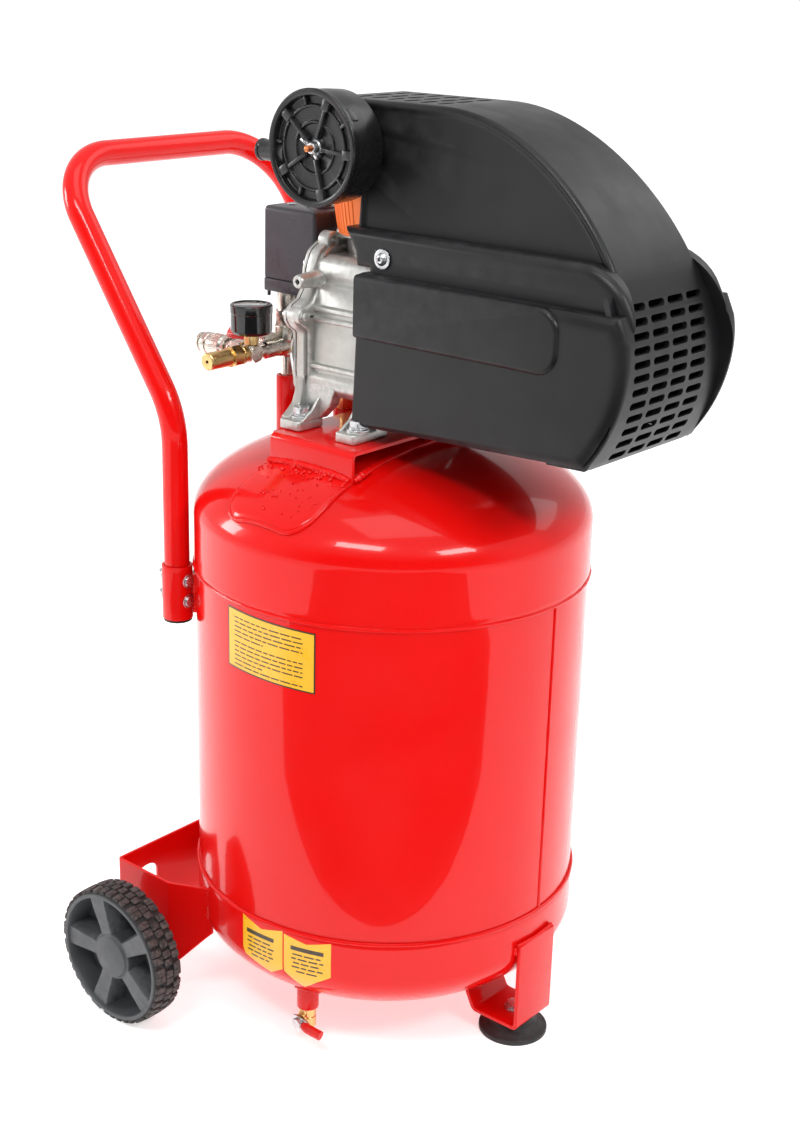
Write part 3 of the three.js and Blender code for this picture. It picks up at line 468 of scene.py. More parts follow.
def red_paint():
    s = Surface(
        "red_paint", (0.74, 0.004, 0.003), 0.2, coat_weight=0.42, coat_roughness=0.02, specular_ior_level=0.14
    )
    s.tint(s.span(s.noise(160, 4), 0.35, 0.7, 0, 0.45), (0.66, 0.003, 0.003))
    s.tint(s.span(s.noise(2.2, 2), 0.66, 0.82, 0, 0.2), (0.86, 0.015, 0.01))
    s.gloss(s.noise(60, 5), 0.3, 0.7, 0.14, 0.26)
    s.bump(s.noise(70, 2), 0.25, 0.35)
    s.bump(s.noise(3.4, 2), 0.02, 0.5, coat=True)
    return s


def red_plastic():
    s = Surface("red_plastic", (0.72, 0.012, 0.01), 0.3, coat_weight=0.25, coat_roughness=0.1)
    s.tint(s.span(s.noise(9, 4), 0.4, 0.75, 0, 0.5), (0.55, 0.006, 0.006))
    s.gloss(s.noise(5, 4), 0.3, 0.7, 0.24, 0.42)
    s.bump(s.noise(1.2, 3), 0.03, 0.5)
    return s


def black_plastic():
    s = Surface("black_plastic", (0.0075, 0.0075, 0.0083), 0.33, specular_ior_level=0.34)
    s.tint(s.span(s.noise(120, 5), 0.35, 0.75, 0, 0.6), (0.014, 0.014, 0.0152))
    # Painted highlight: convex edges are lightened in patches to stand for the highlights along the
    # moulding's rims.
    s.tint(s.times(s.edges(0.515, 0.58), s.span(s.noise(14, 4), 0.3, 0.7, 0, 0.5)), (0.05, 0.05, 0.053))
    s.gloss(s.noise(36, 6), 0.3, 0.7, 0.31, 0.44)
    s.bump(s.noise(0.75, 2, 0.6), 0.05, 0.35)
    s.bump(s.noise(30, 2), 0.18, 0.25)
    return s


def filter_plastic():
    s = Surface("filter_plastic", (0.007, 0.007, 0.0075), 0.2, specular_ior_level=0.5)
    s.tint(s.span(s.noise(26, 5), 0.4, 0.75, 0, 0.5), (0.016, 0.016, 0.017))
    # Painted highlight: convex edges of the ribs and rings are lightened in patches to stand for their
    # highlights.
    s.tint(s.times(s.edges(0.515, 0.58), s.span(s.noise(9, 4), 0.3, 0.7, 0, 0.5)), (0.06, 0.06, 0.062))
    s.gloss(s.noise(18, 5), 0.3, 0.7, 0.2, 0.36)
    s.bump(s.noise(8, 3), 0.08, 0.3)
    return s


def switch_plastic():
    # The lightened, violet-tinted base is partly the cover's own dark grey plastic and partly a painted sheen
    # standing for the reflection on its sides.
    s = Surface("switch_plastic", (0.05, 0.044, 0.053), 0.3, specular_ior_level=0.5)
    s.tint(s.span(s.noise(18, 5), 0.4, 0.75, 0, 0.5), (0.062, 0.056, 0.066))
    s.gloss(s.noise(12, 5), 0.3, 0.7, 0.24, 0.4)
    s.bump(s.noise(0.9, 2), 0.03, 0.3)
    return s


def gauge_black():
    s = Surface("gauge_black", (0.006, 0.006, 0.0065), 0.12, coat_weight=0.5, coat_roughness=0.04)
    s.tint(s.span(s.noise(12, 3), 0.45, 0.8, 0, 0.4), (0.012, 0.012, 0.013))
    s.gloss(s.noise(7, 4), 0.3, 0.7, 0.08, 0.2)
    s.bump(s.noise(4, 2), 0.02, 0.4)
    return s


def cast_aluminium():
    s = Surface("cast_aluminium", (0.54, 0.54, 0.51), 0.4, 0.8)
    s.tint(s.span(s.noise(26, 5), 0.38, 0.72, 0, 0.7), (0.44, 0.44, 0.415))
    s.tint(s.times(s.edges(0.51, 0.56), s.span(s.noise(5, 4), 0.3, 0.65, 0, 0.9)), (0.85, 0.85, 0.83))
    # Painted shade: hollows and inside corners are darkened in patches, standing for the shade that falls in
    # them.
    s.tint(s.times(s.edges(0.49, 0.43), s.span(s.noise(4, 4), 0.3, 0.65, 0, 0.75)), (0.16, 0.16, 0.145))
    s.gloss(s.noise(9, 5), 0.3, 0.7, 0.34, 0.54)
    s.bump(s.noise(1.3, 3, 0.6), 0.12, 0.5)
    s.bump(s.noise(14, 3), 0.35, 0.3)
    return s


def zinc_steel():
    s = Surface("zinc_steel", (0.66, 0.67, 0.69), 0.3, 1.0)
    s.tint(s.span(s.noise(6, 5), 0.42, 0.72, 0, 0.6), (0.48, 0.48, 0.47))
    s.gloss(s.noise(3, 5), 0.3, 0.7, 0.2, 0.42)
    s.bump(s.noise(0.8, 3), 0.03, 0.4)
    return s


def nickel():
    s = Surface("nickel", (0.72, 0.68, 0.61), 0.22, 1.0)
    s.tint(s.span(s.noise(14, 3), 0.42, 0.75, 0, 0.5), (0.60, 0.55, 0.46))
    s.gloss(s.noise(9, 3), 0.3, 0.7, 0.2, 0.32)
    s.bump(s.noise(5, 2), 0.03, 0.3)
    return s


def brass():
    s = Surface("brass", (0.83, 0.58, 0.25), 0.28, 1.0)
    s.tint(s.span(s.noise(12, 3), 0.42, 0.75, 0, 0.5), (0.70, 0.45, 0.16))
    s.gloss(s.noise(8, 3), 0.3, 0.7, 0.24, 0.38)
    s.bump(s.noise(2, 2), 0.015, 0.3)
    return s


def tyre_rubber():
    s = Surface("tyre_rubber", (0.020, 0.020, 0.021), 0.72)
    s.tint(s.span(s.noise(11, 6, 0.65), 0.5, 0.68, 0, 0.6), (0.075, 0.06, 0.058))
    s.tint(s.times(s.edges(0.52, 0.58), s.span(s.noise(3, 5), 0.4, 0.6, 0, 0.6)), (0.12, 0.098, 0.09))
    s.gloss(s.noise(7, 4), 0.3, 0.7, 0.6, 0.88)
    s.bump(s.noise(1.1, 4, 0.65), 0.22, 0.6)
    return s


def foot_rubber():
    s = Surface("foot_rubber", (0.018, 0.018, 0.0185), 0.6)
    s.tint(s.span(s.noise(13, 6, 0.6), 0.5, 0.75, 0, 0.5), (0.05, 0.047, 0.044))
    s.gloss(s.noise(9, 4), 0.3, 0.7, 0.48, 0.76)
    s.bump(s.noise(0.9, 4), 0.08, 0.5)
    return s


def grey_plastic():
    s = Surface("grey_plastic", (0.052, 0.056, 0.060), 0.42, specular_ior_level=0.5)
    s.tint(s.span(s.noise(22, 5), 0.38, 0.75, 0, 0.6), (0.075, 0.079, 0.083))
    s.tint(s.times(s.edges(0.52, 0.6), s.span(s.noise(6, 4), 0.3, 0.7, 0, 0.5)), (0.16, 0.165, 0.17))
    s.gloss(s.noise(14, 5), 0.3, 0.7, 0.34, 0.52)
    s.bump(s.noise(0.8, 3), 0.04, 0.4)
    return s


def orange_plastic():
    s = Surface("orange_plastic", (1.0, 0.2, 0.016), 0.38)
    s.tint(s.span(s.noise(30, 4), 0.38, 0.75, 0, 0.5), (1.0, 0.16, 0.012))
    s.gloss(s.noise(12, 4), 0.3, 0.7, 0.34, 0.52)
    s.bump(s.noise(0.9, 3), 0.04, 0.4)
    return s


def motor_iron():
    s = Surface("motor_iron", (0.055, 0.05, 0.048), 0.5, 0.7)
    s.tint(s.span(s.noise(1.1, 1, 0.5, (1, 60, 60)), 0.45, 0.6, 0, 0.8), (0.12, 0.11, 0.105))
    s.gloss(s.noise(9, 4), 0.3, 0.7, 0.4, 0.65)
    s.bump(s.noise(1.1, 1, 0.5, (1, 60, 60)), 0.15, 0.8)
    return s


def foam():
    s = Surface("foam", (0.62, 0.60, 0.55), 0.95, sheen_weight=0.2)
    s.tint(s.span(s.cells(1.6), 0.25, 0.6, 0.8, 0), (0.22, 0.21, 0.19))
    s.gloss(s.noise(4, 3), 0.3, 0.7, 0.88, 1.0)
    s.bump(s.cells(1.6), 0.6, 0.8)
    return s


def label_yellow():
    s = Surface("label_yellow", (0.90, 0.47, 0.012), 0.3, coat_weight=0.4, coat_roughness=0.12)
    s.tint(s.span(s.noise(30, 4), 0.4, 0.75, 0, 0.5), (0.80, 0.38, 0.008))
    s.gloss(s.noise(20, 4), 0.3, 0.7, 0.24, 0.4)
    s.bump(s.noise(16, 3), 0.05, 0.4)
    return s


def label_ink():
    s = Surface("label_ink", (0.035, 0.022, 0.010), 0.34, coat_weight=0.3, coat_roughness=0.12)
    s.tint(s.span(s.noise(1.6, 3), 0.48, 0.62, 0, 0.5), (0.10, 0.055, 0.012))
    s.gloss(s.noise(8, 3), 0.3, 0.7, 0.28, 0.44)
    s.bump(s.noise(2, 3), 0.01, 0.4)
    return s


def dial_white():
    s = Surface("dial_white", (0.80, 0.80, 0.77), 0.45)
    s.tint(s.span(s.noise(14, 4), 0.4, 0.75, 0, 0.4), (0.72, 0.71, 0.66))
    s.gloss(s.noise(6, 3), 0.3, 0.7, 0.38, 0.55)
    s.bump(s.noise(1.5, 2), 0.01, 0.3)
    return s


def glass():
    s = Surface("glass", (0.96, 0.97, 0.97), 0.03, transmission_weight=1.0, ior=1.45)
    s.gloss(s.noise(6, 4), 0.3, 0.7, 0.015, 0.06)
    s.tint(s.span(s.noise(9, 4), 0.5, 0.8, 0, 0.3), (0.90, 0.92, 0.92))
    s.bump(s.noise(9, 2), 0.01, 0.2)
    return s


def copper():
    s = Surface("copper", (0.78, 0.30, 0.12), 0.3, 1.0)
    s.tint(s.span(s.noise(1.2, 2, 0.5, (40, 1, 1)), 0.45, 0.6, 0, 0.8), (0.35, 0.10, 0.04))
    s.gloss(s.noise(5, 4), 0.3, 0.7, 0.22, 0.44)
    s.bump(s.noise(1.2, 2, 0.5, (40, 1, 1)), 0.2, 0.7)
    return s


def polished_cast():
    s = Surface("polished_cast", (0.66, 0.66, 0.65), 0.22, 1.0)
    s.tint(s.span(s.noise(11, 5), 0.42, 0.75, 0, 0.6), (0.5, 0.5, 0.48))
    s.gloss(s.noise(5, 5), 0.3, 0.7, 0.14, 0.34)
    s.bump(s.noise(5, 3), 0.15, 0.35)
    return s


SLOT_OF = {
    "filter_plastic": "black_plastic",
    "switch_plastic": "black_plastic",
    "label_yellow": "red_paint",
    "label_ink": "red_paint",
    "dial_white": "gauge_black",
    "glass": "gauge_black",
    "copper": "motor_iron",
    "polished_cast": "cast_aluminium",
}
FINISHES = {
    maker.__name__: maker
    for maker in (
        red_paint, red_plastic, black_plastic, filter_plastic, switch_plastic, gauge_black, cast_aluminium,
        zinc_steel, nickel, brass, tyre_rubber, foot_rubber, grey_plastic, orange_plastic, motor_iron, foam,
        label_yellow, label_ink, dial_white, glass, copper, polished_cast,
    )
}
MADE = {}


def look(name):
    if name not in MADE:
        MADE[name] = FINISHES[name]().material
    return MADE[name]


def keep(node, finish):
    """A CAD node whose shape is right keeps it and gets a finish."""
    mesh = NODES[node].data
    mesh.materials.clear()
    mesh.materials.append(look(finish))


# ---- Tank -------------------------------------------------------------------------------------------------
RADIUS = round(extent("tank_barrel")[1].x, 1)
SEAM_LOW, SEAM_HIGH = extent("tank_barrel")[0].z, extent("tank_barrel")[1].z
HEAD_RADIUS = RADIUS + 1.3
TOP_KNUCKLE = 491
BOTTOM_KNUCKLE = 99
HEAD_DEPTH = extent("tank_top_head")[1].z - TOP_KNUCKLE
SHEET = 2.5


def dome_height(x, y, lift=0.0):
    """Height of the top head's outside over a point, or of a surface lift above it."""
    r = math.hypot(x, y)
    share = max(0.0, 1 - (r / (HEAD_RADIUS + lift)) ** 2)
    return TOP_KNUCKLE + (HEAD_DEPTH + lift) * math.sqrt(share)


def low_height(x, y):
    share = max(0.0, 1 - (math.hypot(x, y) / HEAD_RADIUS) ** 2)
    return BOTTOM_KNUCKLE - HEAD_DEPTH * math.sqrt(share)


def blank(knuckle, side, seam, extra):
    """The filled space of a head, grown by extra."""
    arc = [
        ((HEAD_RADIUS + extra) * math.cos(a), knuckle + side * (HEAD_DEPTH + extra) * math.sin(a))
        for a in (math.pi / 2 * k / 24 for k in range(24))
    ]
    tip = (0, knuckle + side * (HEAD_DEPTH + extra))
    return turned([(0, seam), (HEAD_RADIUS + extra, seam), *arc, tip], "z", segments=160)


def bead(path, radius, pitch=4.2, closed=False, seed=1, sides=12, spatter=0.18):
    """A weld bead along a path, with the overlapping ripples of its pool."""
    points = [Vector(p) for p in path]
    length = 0.0
    places = []
    for i, at in enumerate(points):
        length += (at - points[i - 1]).length if i else 0
        places.append(length)

    def size(i):
        ripple = (places[i] / pitch) % 1.0
        wobble = noise.noise(Vector((places[i] / 17, seed, 0)))
        return radius * (0.9 + 0.2 * (1 - ripple) ** 2 + spatter * wobble)

    return sweep(points, size, sides=sides, closed=closed)


def along(path, step):
    """A path cut into even short steps."""
    points = [Vector(p) for p in path]
    out = [points[0]]
    for a, b in zip(points, points[1:]):
        count = max(1, round((b - a).length / step))
        out.extend(a.lerp(b, (k + 1) / count) for k in range(count))
    return out


def round_bead(radius, z, size, seed):
    count = int(math.tau * radius / 1.3)
    ring = [
        (radius * math.cos(math.tau * i / count), radius * math.sin(math.tau * i / count), z)
        for i in range(count)
    ]
    return bead(ring, size, closed=True, seed=seed, sides=10)


def head_shell(knuckle, side, seam):
    lip = seam - side * 5
    arc = [
        (HEAD_RADIUS * math.cos(a), knuckle + side * HEAD_DEPTH * math.sin(a))
        for a in (math.pi / 2 * k / 36 for k in range(36))
    ]
    inner = [
        ((HEAD_RADIUS - SHEET) * math.cos(a), knuckle + side * (HEAD_DEPTH - SHEET) * math.sin(a))
        for a in (math.pi / 2 * k / 18 for k in reversed(range(18)))
    ]
    outside = [(RADIUS + 0.3, lip), (RADIUS + 1.0, lip), (RADIUS + 1.5, lip + side),
        (RADIUS + 1.6, seam + side * 2),
               (HEAD_RADIUS, seam + side * 6), *arc, (0, knuckle + side * HEAD_DEPTH)]
    inside = [
        (0, knuckle + side * (HEAD_DEPTH - SHEET)), *inner, (HEAD_RADIUS - SHEET, seam + side),
        (RADIUS + 0.3, seam + side)
    ]
    return turned(outside + inside, "z", segments=192)


def tank():
    inner = RADIUS - SHEET
    wall = [(inner, SEAM_LOW), (RADIUS, SEAM_LOW), (RADIUS, SEAM_HIGH), (inner, SEAM_HIGH)]
    barrel = turned(wall, "z", segments=192)
    piece("tank_shell", barrel, "red_paint", "compressor", "tank_barrel")
    piece("tank_head_top", head_shell(TOP_KNUCKLE, 1, SEAM_HIGH), "red_paint", "compressor", "tank_top_head")
    piece(
        "tank_head_bottom", head_shell(BOTTOM_KNUCKLE, -1, SEAM_LOW), "red_paint", "compressor",
        "tank_bottom_head"
    )

    seam_turn = math.radians(1.9)
    upright = along([
        (RADIUS * math.cos(seam_turn), RADIUS * math.sin(seam_turn), SEAM_LOW + 6),
        (RADIUS * math.cos(seam_turn), RADIUS * math.sin(seam_turn), SEAM_HIGH - 5),
    ], 1.1)
    piece("tank_weld_top", round_bead(RADIUS + 0.9, SEAM_HIGH - 4.6, 1.9, 2), "red_paint", "compressor")
    piece("tank_weld_bottom", round_bead(RADIUS + 0.9, SEAM_LOW + 4.6, 1.9, 5), "red_paint", "compressor")
    piece("tank_weld_upright", bead(upright, 1.7, pitch=3.4, seed=9), "red_paint", "compressor")


def surface(turn, z, lift):
    """A point lift outside the tank's wall at an angle round the axis and a height."""
    if z >= BOTTOM_KNUCKLE:
        base = RADIUS if z > SEAM_LOW + 4 else HEAD_RADIUS
        return Vector((math.cos(turn) * (base + lift), math.sin(turn) * (base + lift), z))
    share = (BOTTOM_KNUCKLE - z) / HEAD_DEPTH
    r = HEAD_RADIUS * math.sqrt(1 - share * share)
    out = Vector((r / HEAD_RADIUS**2, -share / HEAD_DEPTH)).normalized()
    return Vector(
        (math.cos(turn) * (r + out.x * lift), math.sin(turn) * (r + out.x * lift), z + out.y * lift)
    )


def wrapped(outline, low=0.05, high=0.3):
    """A thin patch on the tank from an outline of (degrees round the axis, height)."""
    scale = math.radians(1) * RADIUS
    bm = bmesh.new()
    bm.faces.new([bm.verts.new((t * scale, z, 0)) for t, z in outline])
    for _ in range(6):
        bmesh.ops.triangulate(bm, faces=bm.faces[:])
        long = [e for e in bm.edges if e.calc_length() > 4.5]
        if not long:
            break
        bmesh.ops.subdivide_edges(bm, edges=long, cuts=1)
    bmesh.ops.triangulate(bm, faces=bm.faces[:])
    grown = bmesh.ops.extrude_face_region(bm, geom=bm.faces[:])
    top = {v for v in grown["geom"] if isinstance(v, bmesh.types.BMVert)}
    for v in bm.verts:
        v.co = surface(math.radians(v.co.x / scale), v.co.y, high if v in top else low)
    bmesh.ops.recalc_face_normals(bm, faces=bm.faces[:])
    return bm


def strip(t0, t1, z, tall, low=0.2, high=0.42, lean=0.0):
    """A printed bar from one angle to another; lean raises its far end."""
    return wrapped([(t0, z), (t1, z + lean), (t1, z + lean + tall), (t0, z + tall)], low, high)


def labels():
    t0, t1, z0, z1, fall = -101.0, -70.2, 379.0, 435.5, -3.2
    piece("label_border", wrapped(eased([(t0, z0, 0.4), (t1, z0 + fall, 0.4), (t1, z1 + fall, 0.4),
        (t0, z1, 0.4)], step=45)),
          "label_ink", "compressor")
    a, b = t0 + 0.45, t1 - 0.45
    piece("label_field", wrapped([(a, z0 + 1.4), (b, z0 + 1.4 + fall), (b, z1 - 1.4 + fall), (a, z1 - 1.4)],
        0.2, 0.4),
          "label_yellow", "compressor")
    chance = random.Random(4)
    rows = []
    for row in range(11):
        z = z1 - 8.2 - row * 4.25 - (1.6 if row > 4 else 0)
        reach = t0 + 3 + (t1 - t0 - 6) * (0.97 if row % 5 != 4 else 0.45)
        at = t0 + 3
        while at < reach:
            wide = chance.uniform(1.2, 3.6)
            end = min(at + wide, reach)
            share = (at - t0) / (t1 - t0) * fall
            rows.append(strip(at, end, z + share, 1.15, 0.35, 0.5, (end - at) / (t1 - t0) * fall))
            at = end + 0.45
    piece("label_rows", join(*rows), "label_ink", "compressor")

    left = [
        (-94.6, 134), (-87.2, 127), (-79.7, 133.5), (-79.7, 93), (-84.6, 82.5), (-93.8, 92.5), (-94.6, 99)
    ]
    right = [(-79.2, 131.5), (-72, 126.5), (-64.6, 132.5), (-64.6, 97), (-69, 88), (-73.8, 75), (-79.2, 92)]
    for name, outline, seed in (("left", left, 1), ("right", right, 2)):
        piece(f"sticker_{name}", wrapped(outline), "label_yellow", "compressor")
        centre = sum(t for t, _ in outline) / len(outline)
        bars = [strip(centre - 5.2, centre + 5.0, 117.5, 4.2)]
        chance = random.Random(seed)
        for row in range(5):
            z = 112.6 - row * 4.4
            half = (4.6, 5.0, 4.4, 4.8, 3.4)[row]
            at = centre - half
            while at < centre + half - 0.6:
                end = min(at + chance.uniform(1.4, 3.2), centre + half)
                bars.append(strip(at, end, z, 1.5))
                at = end + 0.5
        piece(f"sticker_{name}_bars", join(*bars), "label_ink", "compressor")


def boss(radius, bore, x, y, top, edge=1.2):
    low = min(
        dome_height(x + radius * math.cos(a), y + radius * math.sin(a))
        for a in (k * math.pi / 4 for k in range(8))
    )
    return tube(radius, bore, low - 2, top, "z", (x, y, 0), edge)


def foot_ring(x, y, radius, height, size, seed):
    """A weld bead round a boss, where it meets the head."""
    count = 72
    ring = []
    for i in range(count):
        a = math.tau * i / count
        u, v = x + radius * math.cos(a), y + radius * math.sin(a)
        ring.append((u, v, height(u, v)))
    return bead(ring, size, pitch=3.6, closed=True, seed=seed)


def tank_ports():
    riser, check, drain = middle("riser_pipe"), middle("check_valve_boss"), middle("drain_boss")
    top = extent("riser_pipe")[1].z
    piece("riser", boss(10.3, 7, riser.x, riser.y, top), "red_paint", "compressor", "riser_pipe")
    piece("riser_weld", foot_ring(riser.x, riser.y, 10.8, dome_height, 2.6, 3), "red_paint", "compressor")
    top = extent("check_valve_boss")[1].z
    piece("check_boss", boss(12, 7, check.x, check.y, top), "red_paint", "compressor", "check_valve_boss")
    piece(
        "check_boss_weld", foot_ring(check.x, check.y, 12.5, dome_height, 2.6, 4), "red_paint", "compressor"
    )
    low = extent("drain_boss")[0].z
    piece("drain_port", tube(10.5, 4, low, low_height(drain.x, drain.y) + 9, "z", (drain.x, drain.y, 0), 1.0),
          "red_paint", "compressor", "drain_boss")
    piece("drain_port_weld", foot_ring(drain.x, drain.y, 10.8, low_height, 2.2, 6), "red_paint", "compressor")


def saddle():
    low, high = extent("pump_saddle")
    outer = eased([(low.y, low.z - 40), (low.y, high.z, 6), (high.y, high.z, 6), (high.y, low.z - 40)])
    inner = eased(
        [
            (low.y + 3.5, low.z - 60), (low.y + 3.5, high.z - 3.5, 2.5), (high.y - 3.5, high.z - 3.5, 2.5),
            (high.y - 3.5, low.z - 60)
        ]
    )
    channel = carve(
        prism(outer, "yz", low.x, high.x, 0.7),
        prism(inner, "yz", low.x - 5, high.x + 5),
        blank(TOP_KNUCKLE, 1, SEAM_HIGH, 3.2),
    )
    piece("saddle", channel, "red_paint", "compressor", "pump_saddle")
    seams = []
    for side in (-1, 1):
        y = side * (high.y + 0.5)
        path = [(x, y, dome_height(x, y, 3.2) + 0.6) for x in range(int(low.x), int(high.x) + 1, 2)]
        seams.append(bead(along(path, 1.2), 3.4, pitch=5.0, seed=11 + side, spatter=0.8))
    for x in (low.x - 0.4, high.x + 0.4):
        for side in (-1, 1):
            path = [(x, side * y, dome_height(x, y, 3.2) + 0.4) for y in range(92, 114, 2)]
            seams.append(bead(along(path, 1.2), 3.0, pitch=4.8, seed=x + side, spatter=0.8))
    piece("saddle_weld", join(*seams), "red_paint", "compressor")

    low, high = extent("saddle_pad")
    high.x = 46
    corner = 24
    outline = eased(
        [(low.x, low.y, corner), (high.x, low.y, corner), (high.x, high.y, corner), (low.x, high.y, corner)],
        step=6
    )
    outline = [tuple(p)[:2] for p in along([(*p, 0) for p in [*outline, outline[0]]], 4)][:-1]
    steps = [(0.0, 3.3), (0.25, 3.3), (0.5, 3.3), (0.68, 3.3), (0.8, 3.3), (0.88, 3.3), (0.93, 3.3),
        (0.965, 3.3), (0.985, 3.1),
             (0.995, 2.6), (1.0, 1.8), (1.0, -0.5)]
    cx, cy = (low.x + high.x) / 2, (low.y + high.y) / 2
    rings = []
    for share, lift in steps[1:]:
        ring = []
        for x, y in outline:
            u, v = cx + (x - cx) * share, cy + (y - cy) * share
            swell = 0.35 * noise.noise(Vector((u / 34, v / 34, 2.0)))
            ring.append((u, v, dome_height(u, v, max(0, lift) + swell) + min(0, lift)))
        rings.append(ring)
    rings.insert(0, [(cx, cy, dome_height(cx, cy, 3.3))])
    rings.append([(cx, cy, dome_height(cx, cy, 0) - 0.5)])
    piece("pad", skin(rings, caps=False), "red_paint", "compressor", "saddle_pad")
    edge = [(x, y, dome_height(x, y) + 0.9) for x, y in outline]
    piece(
        "pad_weld",
        bead(along([*edge, edge[0]], 1.3)[:-1], 2.0, pitch=4.4, closed=True, seed=21, spatter=0.6),
        "red_paint", "compressor"
    )

    chance = random.Random(8)
    drops = []
    for _ in range(170):
        side = chance.choice((-1, -1, 1))
        x = chance.uniform(-54, 48)
        y = side * chance.choice((chance.gauss(118.5, 2.5), chance.gauss(121, 5), chance.gauss(150, 16)))
        if math.hypot(x, y) > 170 or abs(y) < 114:
            continue
        size = chance.uniform(0.7, 2.2 if abs(y) < 125 else 1.2)
        drop = bmesh.new()
        bmesh.ops.create_icosphere(drop, subdivisions=2, radius=size)
        drops.append(moved(drop, Matrix.Translation((x, y, dome_height(x, y, 3.2) + size * 0.2))))
    piece("weld_spatter", join(*drops), "red_paint", "compressor")


# ---- Chassis ----------------------------------------------------------------------------------------------
def wheel_bracket():
    low, high = extent("wheel_bracket")
    back, side, sheet = low.x, high.y, 3
    near = [(-76, -168), (-116, -side, 7), (back, -side, 5)]
    inside = [(back + sheet, -side + sheet, 2), (-116.6, -side + sheet, 4), (-77, -165)]
    far = [(x, -y, *r) for x, y, *r in reversed(near)]
    far_inside = [(x, -y, *r) for x, y, *r in reversed(inside)]
    outline = eased([*near, *far, *far_inside, *inside])
    sheet_metal = prism(outline, "xy", low.z, high.z, 0.6)
    chamfer = prism([(-60, 20), (-60, 96), (-84, 70), (-108, low.z - 1), (-108, 20)], "xz", -220, 220)
    slots = [
        prism(
            eased([(y - 14, 60, 12), (y + 14, 60, 12), (y + 14, 105, 12), (y - 14, 105, 12)]), "yz", back - 5,
            back + 12
        )
        for y in (-150, 150)
    ]
    folded = carve(sheet_metal, blank(BOTTOM_KNUCKLE, -1, SEAM_LOW, 0.1),
        disc(RADIUS + 0.2, 120, 140, "z", (0, 0, 0), 0, 192),
                   chamfer, *slots)
    piece("bracket", folded, "red_paint", "compressor", "wheel_bracket", soft=0.35)
    seams = []
    for s in (-1, 1):
        for z in (124, 108, 96):
            path = []
            for k in range(10):
                h = z - k * 1.2
                r = HEAD_RADIUS if h > BOTTOM_KNUCKLE else HEAD_RADIUS * math.sqrt(
                    1 - ((BOTTOM_KNUCKLE - h) / HEAD_DEPTH) ** 2
                )
                turn = math.atan2(s * 166.5, -80)
                path.append((r * math.cos(turn) - 0.5, r * math.sin(turn), h))
            seams.append(bead(along(path, 1.2), 2.6, pitch=4.2, seed=z + s, spatter=0.5))
    piece("bracket_weld", join(*seams), "red_paint", "compressor")


